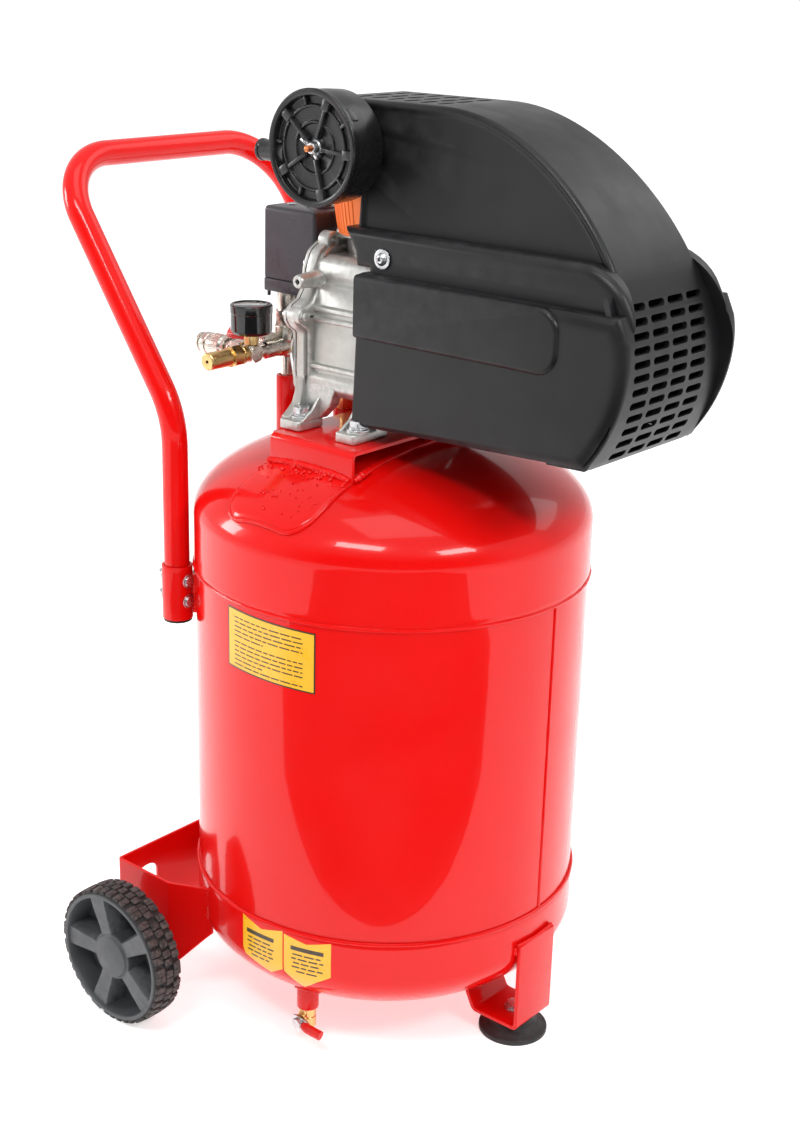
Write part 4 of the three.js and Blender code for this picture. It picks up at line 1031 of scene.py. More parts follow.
def wheel(name, side):
    """One wheel about its own axle, drawn with its outer face towards -Y and turned over for the far side."""
    centre = middle("tyre_" + name)
    low, high = extent("tyre_" + name)
    radius = (high.z - low.z) / 2
    wide = high.y - low.y
    body = "wheel_" + name
    axle = (centre.x, 0, centre.z)

    def placed(bm):
        return flipped(bm) if side > 0 else bm

    face, back = -high.y if side > 0 else low.y, -low.y if side > 0 else high.y
    band = [(62.8, face + 1.5, 0.5), (64.6, face + 1.0, 0.5), (65.4, face + 3.4, 1), (65.6, face + wide / 2),
        (65.4, back - 3.4, 1),
            (64.6, back - 1.0, 0.5), (62.8, back - 1.5, 0.5)]
    tread = [turned(eased(band, True, 30), "y", axle, 132)]
    count = 44
    pitch = math.tau / count
    rows = [(face + 1.6, face + 11.0, 0.0), (face + 12.2, face + 20.8, 0.5), (face + 22.0, back - 1.6, 0.0)]
    for i in range(count):
        for y0, y1, phase in rows:
            outer = y0 < face + 2 or y1 > back - 2
            block = box(-3.3, 3.3, y0, y1, 64.6, radius, 0.6, 2)
            if outer:
                shoulder = y0 < face + 2
                for v in block.verts:
                    edge = (v.co.y - y0) if shoulder else (y1 - v.co.y)
                    if edge < 1.2:
                        v.co.z -= 1.5 * (1 - edge / 1.2) if v.co.z > 66.5 else 1.2
            block_turn = pitch * (i + phase) + 0.02 * math.sin(i * 2.7)
            moved(block, Matrix.Translation((centre.x, 0, centre.z)) @ Matrix.Rotation(block_turn, 4, "Y"))
            tread.append(block)
    piece("tread_" + name, placed(join(*tread)), "tyre_rubber", body, "tyre_" + name)

    hub_back = -extent("wheel_hub_" + name)[0].y if side > 0 else extent("wheel_hub_" + name)[1].y
    rim = turned(eased([
        (63.6, face + 2.0, 0.6), (64.2, face + 0.4, 0.6), (62.4, face, 0.6), (60.4, face + 0.2, 0.6),
        (59.6, face + 3, 1),
        (56.5, face + 24, 2), (19, face + 25, 3), (17, face + 12, 1), (15, face + 12, 1), (15, face + 29),
        (56, face + 29, 2),
        (60.5, back - 1, 1), (63.6, back - 0.6, 0.6),
    ], True, 20), "y", axle, 120)
    parts = [rim]
    parts.append(turned(eased([
        (0, face + 0.3), (9, face + 0.7, 8), (20.4, face + 2.0, 3), (21.6, face + 3.8, 0.8),
        (23.4, face + 4.4, 1.0),
        (24.0, face + 6.5, 0.6), (24.0, face + 26), (0, face + 26),
    ], False, 12), "y", axle, 72))
    for k in range(5):
        turn = math.radians(35.5 + 72 * k)
        rows = []
        for reach, top, half_top, half_low in (
            (20, 4.4, 7.0, 10.4), (30, 4.2, 7.4, 10.9), (42, 3.4, 8.2, 11.9), (53, 3.0, 9.2, 13.0),
            (60, 3.0, 9.8, 13.8)
        ):
            deep = 25.5
            section = [(-half_low, face + deep), (-half_top - 0.6, face + top + 1.2),
                (-half_top + 0.2, face + top), (0, face + top - 0.1),
                       (half_top - 0.2, face + top), (half_top + 0.6, face + top + 1.2),
                       (half_low, face + deep)]
            rows.append([(centre.x + reach * math.cos(turn) - w * math.sin(turn), y,
                          centre.z + reach * math.sin(turn) + w * math.cos(turn)) for w, y in section])
        parts.append(skin(rows))
    parts.append(turned(eased([(6.4, face + 12), (13.5, face + 12), (15, face + 28, 1), (15, hub_back, 0.8),
        (6.4, hub_back, 0.5)], True, 20),
                        "y", axle, 60))
    piece("hub_" + name, placed(join(*parts)), "grey_plastic", body, "wheel_hub_" + name)

    bolt = extent("axle_bolt_" + name)
    inner = -bolt[0].y if side > 0 else bolt[1].y
    shank = disc(6, inner, face + 9, "y", axle, 0.5, 40)
    nut = hexagon(18, inner - 2, inner - 9.6, "y", axle)
    washer = disc(10.5, inner - 11.4, inner - 9.8, "y", axle, 0.3)
    collar = disc(11, hub_back + 0.4, hub_back + 2.2, "y", axle, 0.4)
    piece(
        "axle_" + name, placed(join(shank, nut, washer, collar)), "zinc_steel", "compressor",
        "axle_bolt_" + name
    )


def foot():
    low, high = extent("foot_bracket")
    pad_low, pad_high = extent("rubber_foot")
    x = (pad_low.x + pad_high.x) / 2
    front, base, sheet = high.x, low.z, 4
    outside = [(front, high.z), (front, base, 6), (137, base, 8), (118, 56)]
    inside = [
        (122, 57.6), (139.6, base + sheet, 5), (front - sheet, base + sheet, 3), (front - sheet, high.z)
    ]
    strip_metal = prism(eased([*outside, *inside]), "xz", low.y, high.y, 0.7)
    shaped = carve(strip_metal, blank(BOTTOM_KNUCKLE, -1, SEAM_LOW, 0.1))
    piece("foot_strip", shaped, "red_paint", "compressor", "foot_bracket", soft=0.35)
    seams = []
    for y in (low.y, high.y):
        path = [(math.sqrt(HEAD_RADIUS**2 - y * y) + 0.4, y, z) for z in range(100, int(high.z), 2)]
        seams.append(bead(along(path, 1.2), 2.2, pitch=4.0, seed=y, spatter=0.4))
    across = [
        (math.sqrt(HEAD_RADIUS**2 - y * y) + 2.2, y, high.z - 0.4)
        for y in range(int(low.y), int(high.y) + 1, 3)
    ]
    seams.append(bead(along(across, 1.2), 2.3, pitch=4.2, seed=3, spatter=0.5))
    piece("foot_weld", join(*seams), "red_paint", "compressor")

    flare = [(4.4, 3), (18, 3, 1), (21, 0, 0.5), (33, 0, 1.2), (33, 5, 1.5), (28.5, 6.4, 2), (23, 9.5, 5),
        (20, 14, 3), (19.5, pad_high.z, 1.5),
             (4.4, pad_high.z)]
    piece(
        "foot_pad", turned(eased(flare, True, 8), "z", (x, 0, 0), 96), "foot_rubber", "compressor",
        "rubber_foot"
    )
    seat = base + sheet
    bolt = [
        disc(4, 8, seat + 4, "z", (x, 0, 0), 0.3, 32),
        disc(9, seat + 0.05, seat + 1.5, "z", (x, 0, 0), 0.3),
        hexagon(13, seat + 1.5, seat + 6, "z", (x, 0, 0), 0.7, 0.3),
    ]
    piece("foot_screw", join(*bolt), "zinc_steel", "compressor", "foot_bolt")


# ---- Handle -----------------------------------------------------------------------------------------------
def handle():
    low, high = extent("handle_tube")
    x, y = high.x - 12, high.y - 12
    top_x, top_z = -301.5, high.z - 12
    leg = [((x, -y, low.z), 0), ((x, -y, 579), 90), ((top_x, -y, top_z), 62)]
    path = route([*leg, *[((px, -py, pz), r) for (px, py, pz), r in reversed(leg)]], 3)
    piece("handle_bar", sweep(along(path, 6), 12, sides=40), "red_paint", "compressor", "handle_tube")

    for name, side in (("near", -1), ("far", 1)):
        at_y = side * y
        box_low, box_high = extent("handle_socket_" + name)
        turn = math.atan2(-at_y, -x)
        sleeve = tube(14.5, 12.1, box_low.z, box_high.z, "z", (x, at_y, 0), 0.8)
        web = box(6, 30, -6, 6, box_low.z + 8, box_high.z - 9, 1.2)
        moved(web, Matrix.Translation((x, at_y, 0)) @ Matrix.Rotation(turn, 4, "Z"))
        web = carve(
            web, disc(RADIUS - 0.4, 120, 460, "z", (0, 0, 0), 0, 192),
            disc(13, 370, 450, "z", (x, at_y, 0), 0)
        )
        piece("socket_" + name, join(sleeve, web), "red_paint", "compressor", "handle_socket_" + name)
        seams = []
        for s in (-1, 1):
            foot_at = Vector((x, at_y, 0)) + Matrix.Rotation(turn, 3, "Z") @ Vector((17.6, s * 6.6, 0))
            reach = (RADIUS + 0.6) / math.hypot(foot_at.x, foot_at.y)
            path = [(foot_at.x * reach, foot_at.y * reach, z) for z in (box_low.z + 7, box_high.z - 8)]
            seams.append(bead(along(path, 1.2), 2.4, pitch=4.0, seed=s + at_y, spatter=0.4))
        piece("socket_weld_" + name, join(*seams), "red_paint", "compressor")
        plug = disc(11.9, box_low.z - 0.2, box_low.z + 8, "z", (x, at_y, 0), 0.8)
        piece("socket_plug_" + name,
            join(plug, disc(13.6, box_low.z - 2.6, box_low.z - 0.2, "z", (x, at_y, 0), 0.9)),
              "foot_rubber", "compressor")
        for index in (1, 2):
            node = f"handle_bolt_{name}_{index}"
            z = middle(node).z
            far, near = extent(node)
            centre = (0, at_y, z)
            parts = [
                disc(3, far.x, near.x - 2, "x", centre, 0.4, 28),
                disc(6.6, x + 14.55, x + 15.7, "x", centre, 0.3, 40),
                disc(5.2, x + 15.7, x + 17.8, "x", centre, 1.4, 40),
                disc(6.6, x - 15.7, x - 14.55, "x", centre, 0.3, 40),
                hexagon(10, x - 20.4, x - 15.7, "x", centre, 0.7, 0.5),
                disc(4.2, x - 22.4, x - 20.4, "x", centre, 0.6, 32),
            ]
            piece("bolt_handle_%s_%d" % (name, index), join(*parts), "zinc_steel", "compressor", node)


# ---- Pump -------------------------------------------------------------------------------------------------
CRANK_Z = middle("motor_rotor").z
SIDE_VIEW = [
    (0, 604), (-56, 604, 3), (-62, 606, 4), (-70.5, 613, 7), (-69.5, 622, 6), (-65, 626.5, 2),
    (-65.4, 629, 1), (-68.4, 630, 1),
    (-68.4, 633, 1), (-65.2, 634.5, 1.5), (-63.5, 671, 1.5), (-66.2, 672.5, 1), (-66, 675.5, 1),
    (-63.4, 677, 1.2), (-63.2, 680, 1.2),
    (-65.6, 681.5, 1), (-65.2, 684.5, 1), (-62, 686, 1.5), (-57, 703, 2), (-54, 706, 2), (-58, 714, 8),
    (-55, 724.5, 8), (-46, 729, 5),
    (0, 729),
]
FLANGE_VIEW = [
    (0, 602), (-52, 602, 6), (-66, 604.5, 6), (-71.6, 611, 8), (-72.6, 626, 12), (-72.6, 661, 4),
    (-80, 666, 4), (-85, 672, 6),
    (-84.5, 680, 5), (-77, 686, 5), (-68.5, 690, 6), (-62, 700, 8), (-60.6, 716, 12), (-54.5, 731, 12),
    (-42, 738.5, 10), (0, 739),
]
HOLLOW_VIEW = [
    (0, 612), (-54, 612, 6), (-60, 620, 6), (-60, 672, 4), (-57.5, 690, 4), (-51.5, 706, 4), (-51, 722, 5),
    (-44, 725.5), (0, 725.5),
]
BULGE_VIEW = [
    (0, 616), (-42, 615, 8), (-60, 609.5, 9), (-70.5, 620, 10), (-75.4, 643, 22), (-71.5, 661, 10),
    (-58, 672, 12), (-45, 680, 14), (0, 681)
]


def both_halves(view):
    """A whole outline from its half on the -Y side; the ends lie on the middle."""
    half = eased(view, False, 12)
    return half + [(-y, z) for y, z in reversed(half) if abs(y) > 1e-6]


def crankcase():
    low = extent("crankcase")[0]
    back, front = -48, 30
    walls = carve(
        prism(both_halves(SIDE_VIEW), "yz", back - 1, front, 0.8),
        prism(both_halves(HOLLOW_VIEW), "yz", back + 3, front - 4),
        disc(14, front - 8, front + 8, "x", (0, 0, CRANK_Z), 0),
        disc(24.4, 715, 750, "z", (-16, 0, 0), 0),
    )
    parts = [walls]
    flange = banded(both_halves(FLANGE_VIEW), "yz", rounding(1.2, low.x, back, 3))
    parts.append(flange)
    parts.append(banded(both_halves(FLANGE_VIEW), "yz",
        [(7, back - 0.5), (5.5, back), (3.5, back + 0.5), (3.2, back + 3.2),
                                                         (4.4, back + 4.2), (9, back + 4.4)]))
    for s in (-1, 1):
        parts.append(tube(8.6, 3.6, low.x - 0.2, back + 3, "x", (0, s * 37, 739), 1.6))
        parts.append(box(back - 9, back + 2, s * 37 - 7, s * 37 + 7, 722, 736, 2.5, 3))
        parts.append(disc(7.4, low.x - 0.1, back + 5, "x", (0, s * 78, 677), 1.2))
        parts.append(hexagon(7, back + 5, back + 9, "x", (0, s * 78, 677), 0.6))
        parts.append(disc(5.6, back + 5, back + 6, "x", (0, s * 78, 677), 0.2, 36))
    long_boss = turned(eased([(0, -52), (8.5, -52), (6.9, -70, 3), (6.2, -82, 0.6), (5.4, -84, 0.6),
        (2.4, -84, 0.3), (2.4, -76), (0, -76)], False, 15),
                       "y", (-46, 0, 708), 60)
    parts.append(long_boss)
    parts.append(
        turned(
            eased([(0, 52), (8.5, 52), (6.9, 70, 3), (6.2, 82, 0.6), (0, 82)], False, 15), "y", (-46, 0, 708),
            60
        )
    )

    for s in (-1, 1):
        feet = []
        for x in (-42, 25):
            x0, x1 = (x - 14, x + 11) if x < 0 else (x - 14, x + 9)
            feet.append(
                prism(eased([(x0, 64, 3), (x1, 64, 3), (x1, 97, 4), (x0, 97, 4)]), "xy", 577.3, 586, 1.3)
            )
            feet.append(tube(10.5, 4.4, 584.5, 587, "z", (x, 81, 0), 0.8))
        leg = [
            (95, 585, 2), (87, 590, 8), (78.5, 597, 8), (75, 606, 10), (72.3, 626, 8), (40, 622), (52, 600),
            (64, 585)
        ]
        feet.append(prism(eased(leg), "yz", low.x, back, 1.4))
        feet.append(
            prism([(back - 1, 585), (-31, 585), (-18, 598), (-12, 616), (back - 1, 616)], "xz", 58, 70.5, 1.5)
        )
        feet.append(prism(eased([(12, 577.4, 2), (33, 577.4, 2), (33, 616), (12, 616)]), "xz", 50, 66, 1.5))
        for x0, x1 in ((-33.5, -30.5), (12, 15)):
            rib = [(94, 585.5, 1), (80, 594, 6), (70, 606), (60, 606), (60, 585.5)]
            feet.append(prism(eased(rib), "yz", x0, x1, 0.8))
        gathered = join(*feet)
        parts.append(moved(gathered, Matrix.Diagonal((1, s, 1, 1))))
    parts.append(tube(58, 53, front - 1, 43.7, "x", (0, 0, CRANK_Z), 1.0, 96))
    for k in range(8):
        turn = math.tau * (k + 0.5) / 8
        parts.append(
            turned_about(
                box(front - 1, 43.7, -2, 2, CRANK_Z + 56, CRANK_Z + 62, 0.8), turn, "X", (0, 0, CRANK_Z)
            )
        )
    parts.append(tube(35, 24.5, 727, 742.2, "z", (-16, 0, 0), 1.2))
    piece("case", join(*parts), "cast_aluminium", "compressor", "crankcase")

    cover_low = extent("crankcase_cover")[0]
    lid_back = low.x - 4.3
    lid = banded(both_halves(FLANGE_VIEW), "yz", rounding(1.0, lid_back, low.x - 0.25, 3))
    piece("case_cover", lid, "cast_aluminium", "compressor", "crankcase_cover")
    bulge = banded(both_halves(BULGE_VIEW), "yz",
        [(14, cover_low.x), (9, cover_low.x + 0.25), (5, cover_low.x + 1.1), (2, cover_low.x + 2.7),
                                                   (0.6, cover_low.x + 4.6), (0, lid_back + 1.5)])
    piece("case_cover_bulge", bulge, "polished_cast", "compressor")
    screws = []
    for y, z in (
        (-76.5, 676), (-24, 608.6), (24, 608.6), (76.5, 676), (-50, 718), (50, 718), (-18, 731), (18, 731)
    ):
        screws.append(disc(6.5, lid_back - 0.8, lid_back, "x", (0, y, z), 0.25, 36))
        screws.append(hexagon(8, lid_back - 5.2, lid_back - 0.8, "x", (0, y, z), 0.6, y))
    gasket = prism(both_halves(FLANGE_VIEW), "yz", low.x - 0.3, low.x + 0.05)
    piece("case_screws", join(*screws), "zinc_steel", "compressor")
    piece("case_gasket", gasket, "foot_rubber", "compressor")

    for index, x in ((1, -42), (2, 25)):
        for name, s in (("near", -1), ("far", 1)):
            bolt_low, bolt_high = extent(f"pump_bolt_{index}")
            centre = (x, s * 81, 0)
            parts = [
                disc(4, bolt_low.z, 590, "z", centre, 0.2, 28),
                disc(10.6, 587.05, 588.8, "z", centre, 0.35),
                disc(8.4, 588.8, 590.6, "z", centre, 0.4),
                hexagon(14.4, 590.6, bolt_high.z + 2.4, "z", centre, 0.9, x * 0.3),
            ]
            stands_for = [f"pump_bolt_{index}"] if s < 0 else []
            piece(f"foot_bolt_{name}_{index}", join(*parts), "zinc_steel", "compressor", *stands_for)


def cylinder():
    low, high = extent("cylinder")
    axis = (-16, 0, 0)
    fins = []
    for i, z in enumerate((757, 766, 775, 784)):
        fins.append(tube(37 + i, 28, z, z + 2.6, "z", axis, 0.9, 96))
    fins.append(tube(30, 23.5, low.z, high.z, "z", axis, 0.5, 96))
    plate = prism(
        eased([(-50, -34, 8), (18, -34, 8), (18, 34, 8), (-50, 34, 8)]), "xy", low.z, low.z + 7, 0.9
    )
    fins.append(carve(plate, disc(28, low.z - 2, low.z + 9, "z", axis, 0)))
    fins.append(tube(41, 28, high.z - 5, high.z, "z", axis, 0.8, 96))
    piece("cylinder_cast", join(*fins), "cast_aluminium", "compressor", "cylinder")

    low, high = extent("cylinder_head")
    square = eased([(low.x, low.y, 7), (high.x, low.y, 7), (high.x, high.y, 7), (low.x, high.y, 7)])
    plate_low, plate_high = extent("valve_plate")
    piece(
        "head_plate", prism(square, "xy", plate_low.z, plate_high.z, 0.3), "zinc_steel", "compressor",
        "valve_plate"
    )
    casting = prism(square, "xy", low.z, high.z, 1.6)
    grooves = [
        box(-16 + dx - 3.2, -16 + dx + 3.2, low.y - 4, high.y + 4, high.z - 22, high.z + 8, 1.4)
        for dx in (-24, -12, 0, 12, 24)
    ]
    walls = [
        box(low.x - 4, low.x + 5, y - 2.6, y + 2.6, low.z + 6, high.z + 8, 1.0) for y in (-28, -14, 0, 14, 28)
    ]
    bore = disc(9, low.y - 2, -25, "y", (-18, 0, 818), 0)
    head = carve(casting, *grooves, *walls, bore)
    piece("cylinder_top", head, "cast_aluminium", "compressor", "cylinder_head")
    bolts = []
    for x in (-45, 13):
        for y in (-29, 29):
            bolts.append(disc(7.5, high.z + 0.05, high.z + 1.4, "z", (x, y, 0), 0.3))
            bolts.append(disc(5.5, high.z + 1.4, high.z + 7.4, "z", (x, y, 0), 0.8))
    piece("head_bolts", join(*bolts), "zinc_steel", "compressor")


def air_guide():
    low, high = extent("air_guide")
    radius = high.y
    turns = [math.radians(-90 - 180 * k / 60) for k in range(61)]
    outer = [(12, -radius)] + [
        (-16 + radius * math.cos(a), radius * math.sin(a)) for a in turns
    ] + [(12, radius)]
    inner = [(12, radius - 3)] + [
        (-16 + (radius - 3) * math.cos(a), (radius - 3) * math.sin(a)) for a in reversed(turns)
    ] + [(12, 3 - radius)]
    wall = prism(outer + inner, "xy", low.z, high.z, 0.7)
    parts = [wall]
    for k in range(31):
        a = math.radians(-90 - 180 * k / 30)
        x, y = -16 + (radius - 0.2) * math.cos(a), (radius - 0.2) * math.sin(a)
        parts.append(disc(0.9, low.z + 1.5, high.z - 1.5, "z", (x, y, 0), 0.3, 10))
    for z in (low.z + 1.0, high.z - 2.4):
        rim_out = [(12, -radius - 0.6)] + [
            (-16 + (radius + 0.6) * math.cos(a), (radius + 0.6) * math.sin(a)) for a in turns
        ] + [(12, radius + 0.6)]
        parts.append(prism(rim_out + inner, "xy", z, z + 1.6, 0.4))
    guide = join(*parts)
    for v in guide.verts:
        share = 0.92 + 0.16 * (v.co.z - low.z) / (high.z - low.z)
        v.co.y *= share
        v.co.x = -16 + (v.co.x + 16) * (share if v.co.x < -16 else 1)
    piece("guide", guide, "orange_plastic", "compressor", "air_guide")


# ---- Shroud -----------------------------------------------------------------------------------------------
def front_curve(dx, dz):
    """The shroud's middle from the bottom of the grille up and back over the pump."""
    low = bezier((265 + dx, 600 + dz), (292 + dx, 640 + dz), (294 + dx, 695 + dz), (270 + dx, 746 + dz), 20)
    high = bezier((270 + dx, 746 + dz), (236 + dx, 808 + dz), (160 + dx, 866 + dz), (82 + dx, 865.5 + dz), 28)
    return [(265 + dx, 600 + dz), *low, *high]


def tapered(bm, low=740, high=862, drop=10, half=60):
    """Leans the upper flanks in towards the top."""
    for v in bm.verts:
        if v.co.z > low:
            v.co.y *= 1 - (v.co.z - low) / (high - low) * drop / half
    return bm


def step_outline(dx, low, back_edge, top):
    out = [(263 + dx, low)]
    out += bezier((263 + dx, low), (300 + dx, 640), (308 + dx, 700), (288 + dx, min(top, 732)), 22)
    if top > 740:
        for k in range(1, 7):
            t = k / 6
            out.append(tuple((1 - t) ** 2 * a + 2 * t * (1 - t) * b + t * t * c
                             for a, b, c in zip((288 + dx, 732), (278 + dx, top - 8), (250 + dx, top))))
    else:
        del out[-4:-1]
    return out + [tuple(p) for p in reversed(back_edge)]


def shroud():
    bottom = extent("shroud")[0].z
    low_half, mid_half, low_top, mid_top = 86, 72, 725, 760
    rim_out, channel_half = -0.5, 77
    outline = [
        (24, bottom), (262, bottom), *front_curve(0, 0), (-38, 865.2), (-40, 863), (-40, 798), (0, 786),
        (0, 740), (24, low_top)
    ]
    lip = [
        (11, 57.4), (8.6, 57.5), (7.0, 58.0), (6.0, 59.0), (5.0, 59.8), (3.9, 60), (2.6, 59.7), (1.4, 58.8),
        (0.5, 57.6), (0.1, 56.3), (0, 55.0)
    ]
    middle_part = tapered(
        banded(outline, "xz", [(d, -s) for d, s in lip] + [(d, s) for d, s in reversed(lip)])
    )

    inner = [(-60, bottom - 10), (258, bottom - 10), *front_curve(-4, -2.5), (-60, 862.5)]
    hollow = tapered(prism(inner, "xz", -56, 56, 3), half=60)

    def slab(shape, half, deep=8.0, back_round=6.0, front_round=14.0):
        """A slab whose edges are rounded more towards the front."""
        turns = [math.pi / 2 * k / 7 for k in range(8)]
        near_side = [(1 - math.sin(a), deep * (1 - math.cos(a)) - half) for a in turns]
        rings = []
        for share, s in near_side + [(d, -s) for d, s in reversed(near_side)]:
            tight, wide = inset(shape, back_round * share), inset(shape, front_round * share)
            ring = []
            for (u0, v0), (u1, v1) in zip(tight, wide):
                mix = min(1.0, max(0.0, (u0 - 190) / 70))
                ring.append((u0 + (u1 - u0) * mix, s, v0 + (v1 - v0) * mix))
            rings.append(ring)
        return skin(rings)

    low_step = slab(step_outline(rim_out, bottom, [(18, bottom - 8), (24, low_top)], low_top), low_half)
    tab = [(24, 727), (9.7, 727), (7.5, 740), (-4.4, mid_top)]
    mid_step = slab(step_outline(rim_out, 700, [(24, 700), *tab], mid_top), mid_half, 7, 7, 9)

    def opening(grow):
        """The space between the two rims in front of the grille."""
        wide, narrow, foot, crown = channel_half + grow, 55 + grow, bottom - 14 - grow, mid_top + 8 + grow
        half = [(wide, foot), (wide, 690, 40), (narrow, crown - 14, 30), (narrow, crown)]
        return prism(eased([*half, *[(-y, z, *r) for y, z, *r in reversed(half)]]), "yz", 226, 320)

    channel = carve(
        opening(0),
        prism([(24, bottom - 12), (262, bottom - 12), *front_curve(0, 0)[:26], (24, 790)], "xz", -70, 70),
    )
    panel_outline = eased([(0, 670), (236, 670, 20), (236, low_top - 0.6, 20), (0, low_top - 0.6)], step=6)
    edge = [(4.5, 0.0), (3.0, 0.15), (1.7, 0.75), (0.8, 1.7), (0.2, 3.0), (0, 4.5)]
    top = low_half + 3
    panel = banded(
        panel_outline, "xz", [(d, -top + s) for d, s in edge] + [(d, top - s) for d, s in reversed(edge)]
    )
    panel = carve(panel, box(24, 260, -100, 100, 650, 740, 0), operation="INTERSECT")

    keep_out = carve(
        opening(3),
        prism([(24, bottom - 14), (258, bottom - 14), *front_curve(-4, -2.5)[:26], (24, 790)], "xz", -70, 70),
    )
    low_inside = prism(
        step_outline(-3, bottom - 10, [(0, bottom - 10), (0, low_top - 3)], low_top - 3), "xz", 3 - low_half,
        low_half - 3, 3
    )
    mid_inside = prism(
        step_outline(-3, 690, [(-20, 690), (-20, mid_top - 3)], mid_top - 3), "xz", 3 - mid_half,
        mid_half - 3, 3
    )
    sides_inside = carve(carve(low_inside, mid_inside, operation="UNION"), keep_out)

    front = front_curve(0, 0)[:20]
    grille = prism([*front, *reversed(front_curve(-4, -2.5)[:20])], "xz", -channel_half - 2, channel_half + 2)
    body = carve(low_step, mid_step, panel, operation="UNION")
    body = carve(body, channel)
    body = carve(body, grille, operation="UNION")
    body = carve(body, middle_part, operation="UNION")
    body = carve(body, sides_inside, hollow)

    cuts = []
    for row in range(12):
        for column in range(4):
            y = (column - 1.5) * 28
            z = 727 - row * 11
            cuts.append(prism(eased([(y - 11.6, z - 3, 2.9), (y + 11.6, z - 3, 2.9), (y + 11.6, z + 3, 2.9),
                (y - 11.6, z + 3, 2.9)], step=20),
                              "yz", 244, 312))
    for x in (-22, -4, 14, 32, 50, 68):
        for y in (-26, 0, 26):
            cuts.append(prism(eased([(x - 3, y - 10.5, 2.9), (x + 3, y - 10.5, 2.9), (x + 3, y + 10.5, 2.9),
                (x - 3, y + 10.5, 2.9)], step=20),
                              "xy", 840, 880))
    cuts.append(disc(2.8, -90, -60, "y", (42, 0, 738), 0))
    cuts.append(disc(14, -75, -40, "y", (-18, 0, 826), 0))
    body = carve(body, join(*cuts))
    duct = turned(
        eased([(66, 160, 0.5), (68, 160, 0.5), (68, 246, 0.5), (66, 246, 0.5)], True, 30), "x",
        (0, 0, CRANK_Z), 96
    )
    shelf = box(150, 262, -78, 78, bottom + 0.5, bottom + 3, 0.6)
    piece("fan_duct", join(duct, shelf), "black_plastic", "compressor")
    piece("cowl", body, "black_plastic", "compressor", "shroud", angle=28)

    for name, s in (("near", -1), ("far", 1)):
        face = -mid_half - 0.3
        centre = (42, 0, 738)
        washer = disc(8.6, face - 1.6, face, "y", centre, 0.35, 60)
        head = turned(
            eased(
                [
                    (0, face - 4.9), (3.2, face - 4.6, 2), (5.6, face - 2.6, 1), (5.6, face - 1.6),
                    (0, face - 1.6)
                ],
                False, 12
            ),
            "y", centre, 60
        )
        star = prism([(42 + (2.7 if k % 2 else 1.9) * math.cos(math.tau * k / 12),
            738 + (2.7 if k % 2 else 1.9) * math.sin(math.tau * k / 12))
                      for k in range(12)], "xz", face - 8, face - 2.8)
        head = carve(head, star)
        shank = disc(2.4, face - 1.6, face + 9, "y", centre, 0.3, 24)
        screw = join(washer, head, shank)
        if s > 0:
            flipped(screw)
        piece("cowl_screw_" + name, screw, "zinc_steel", "compressor", *(["shroud_screw"] if s < 0 else []))


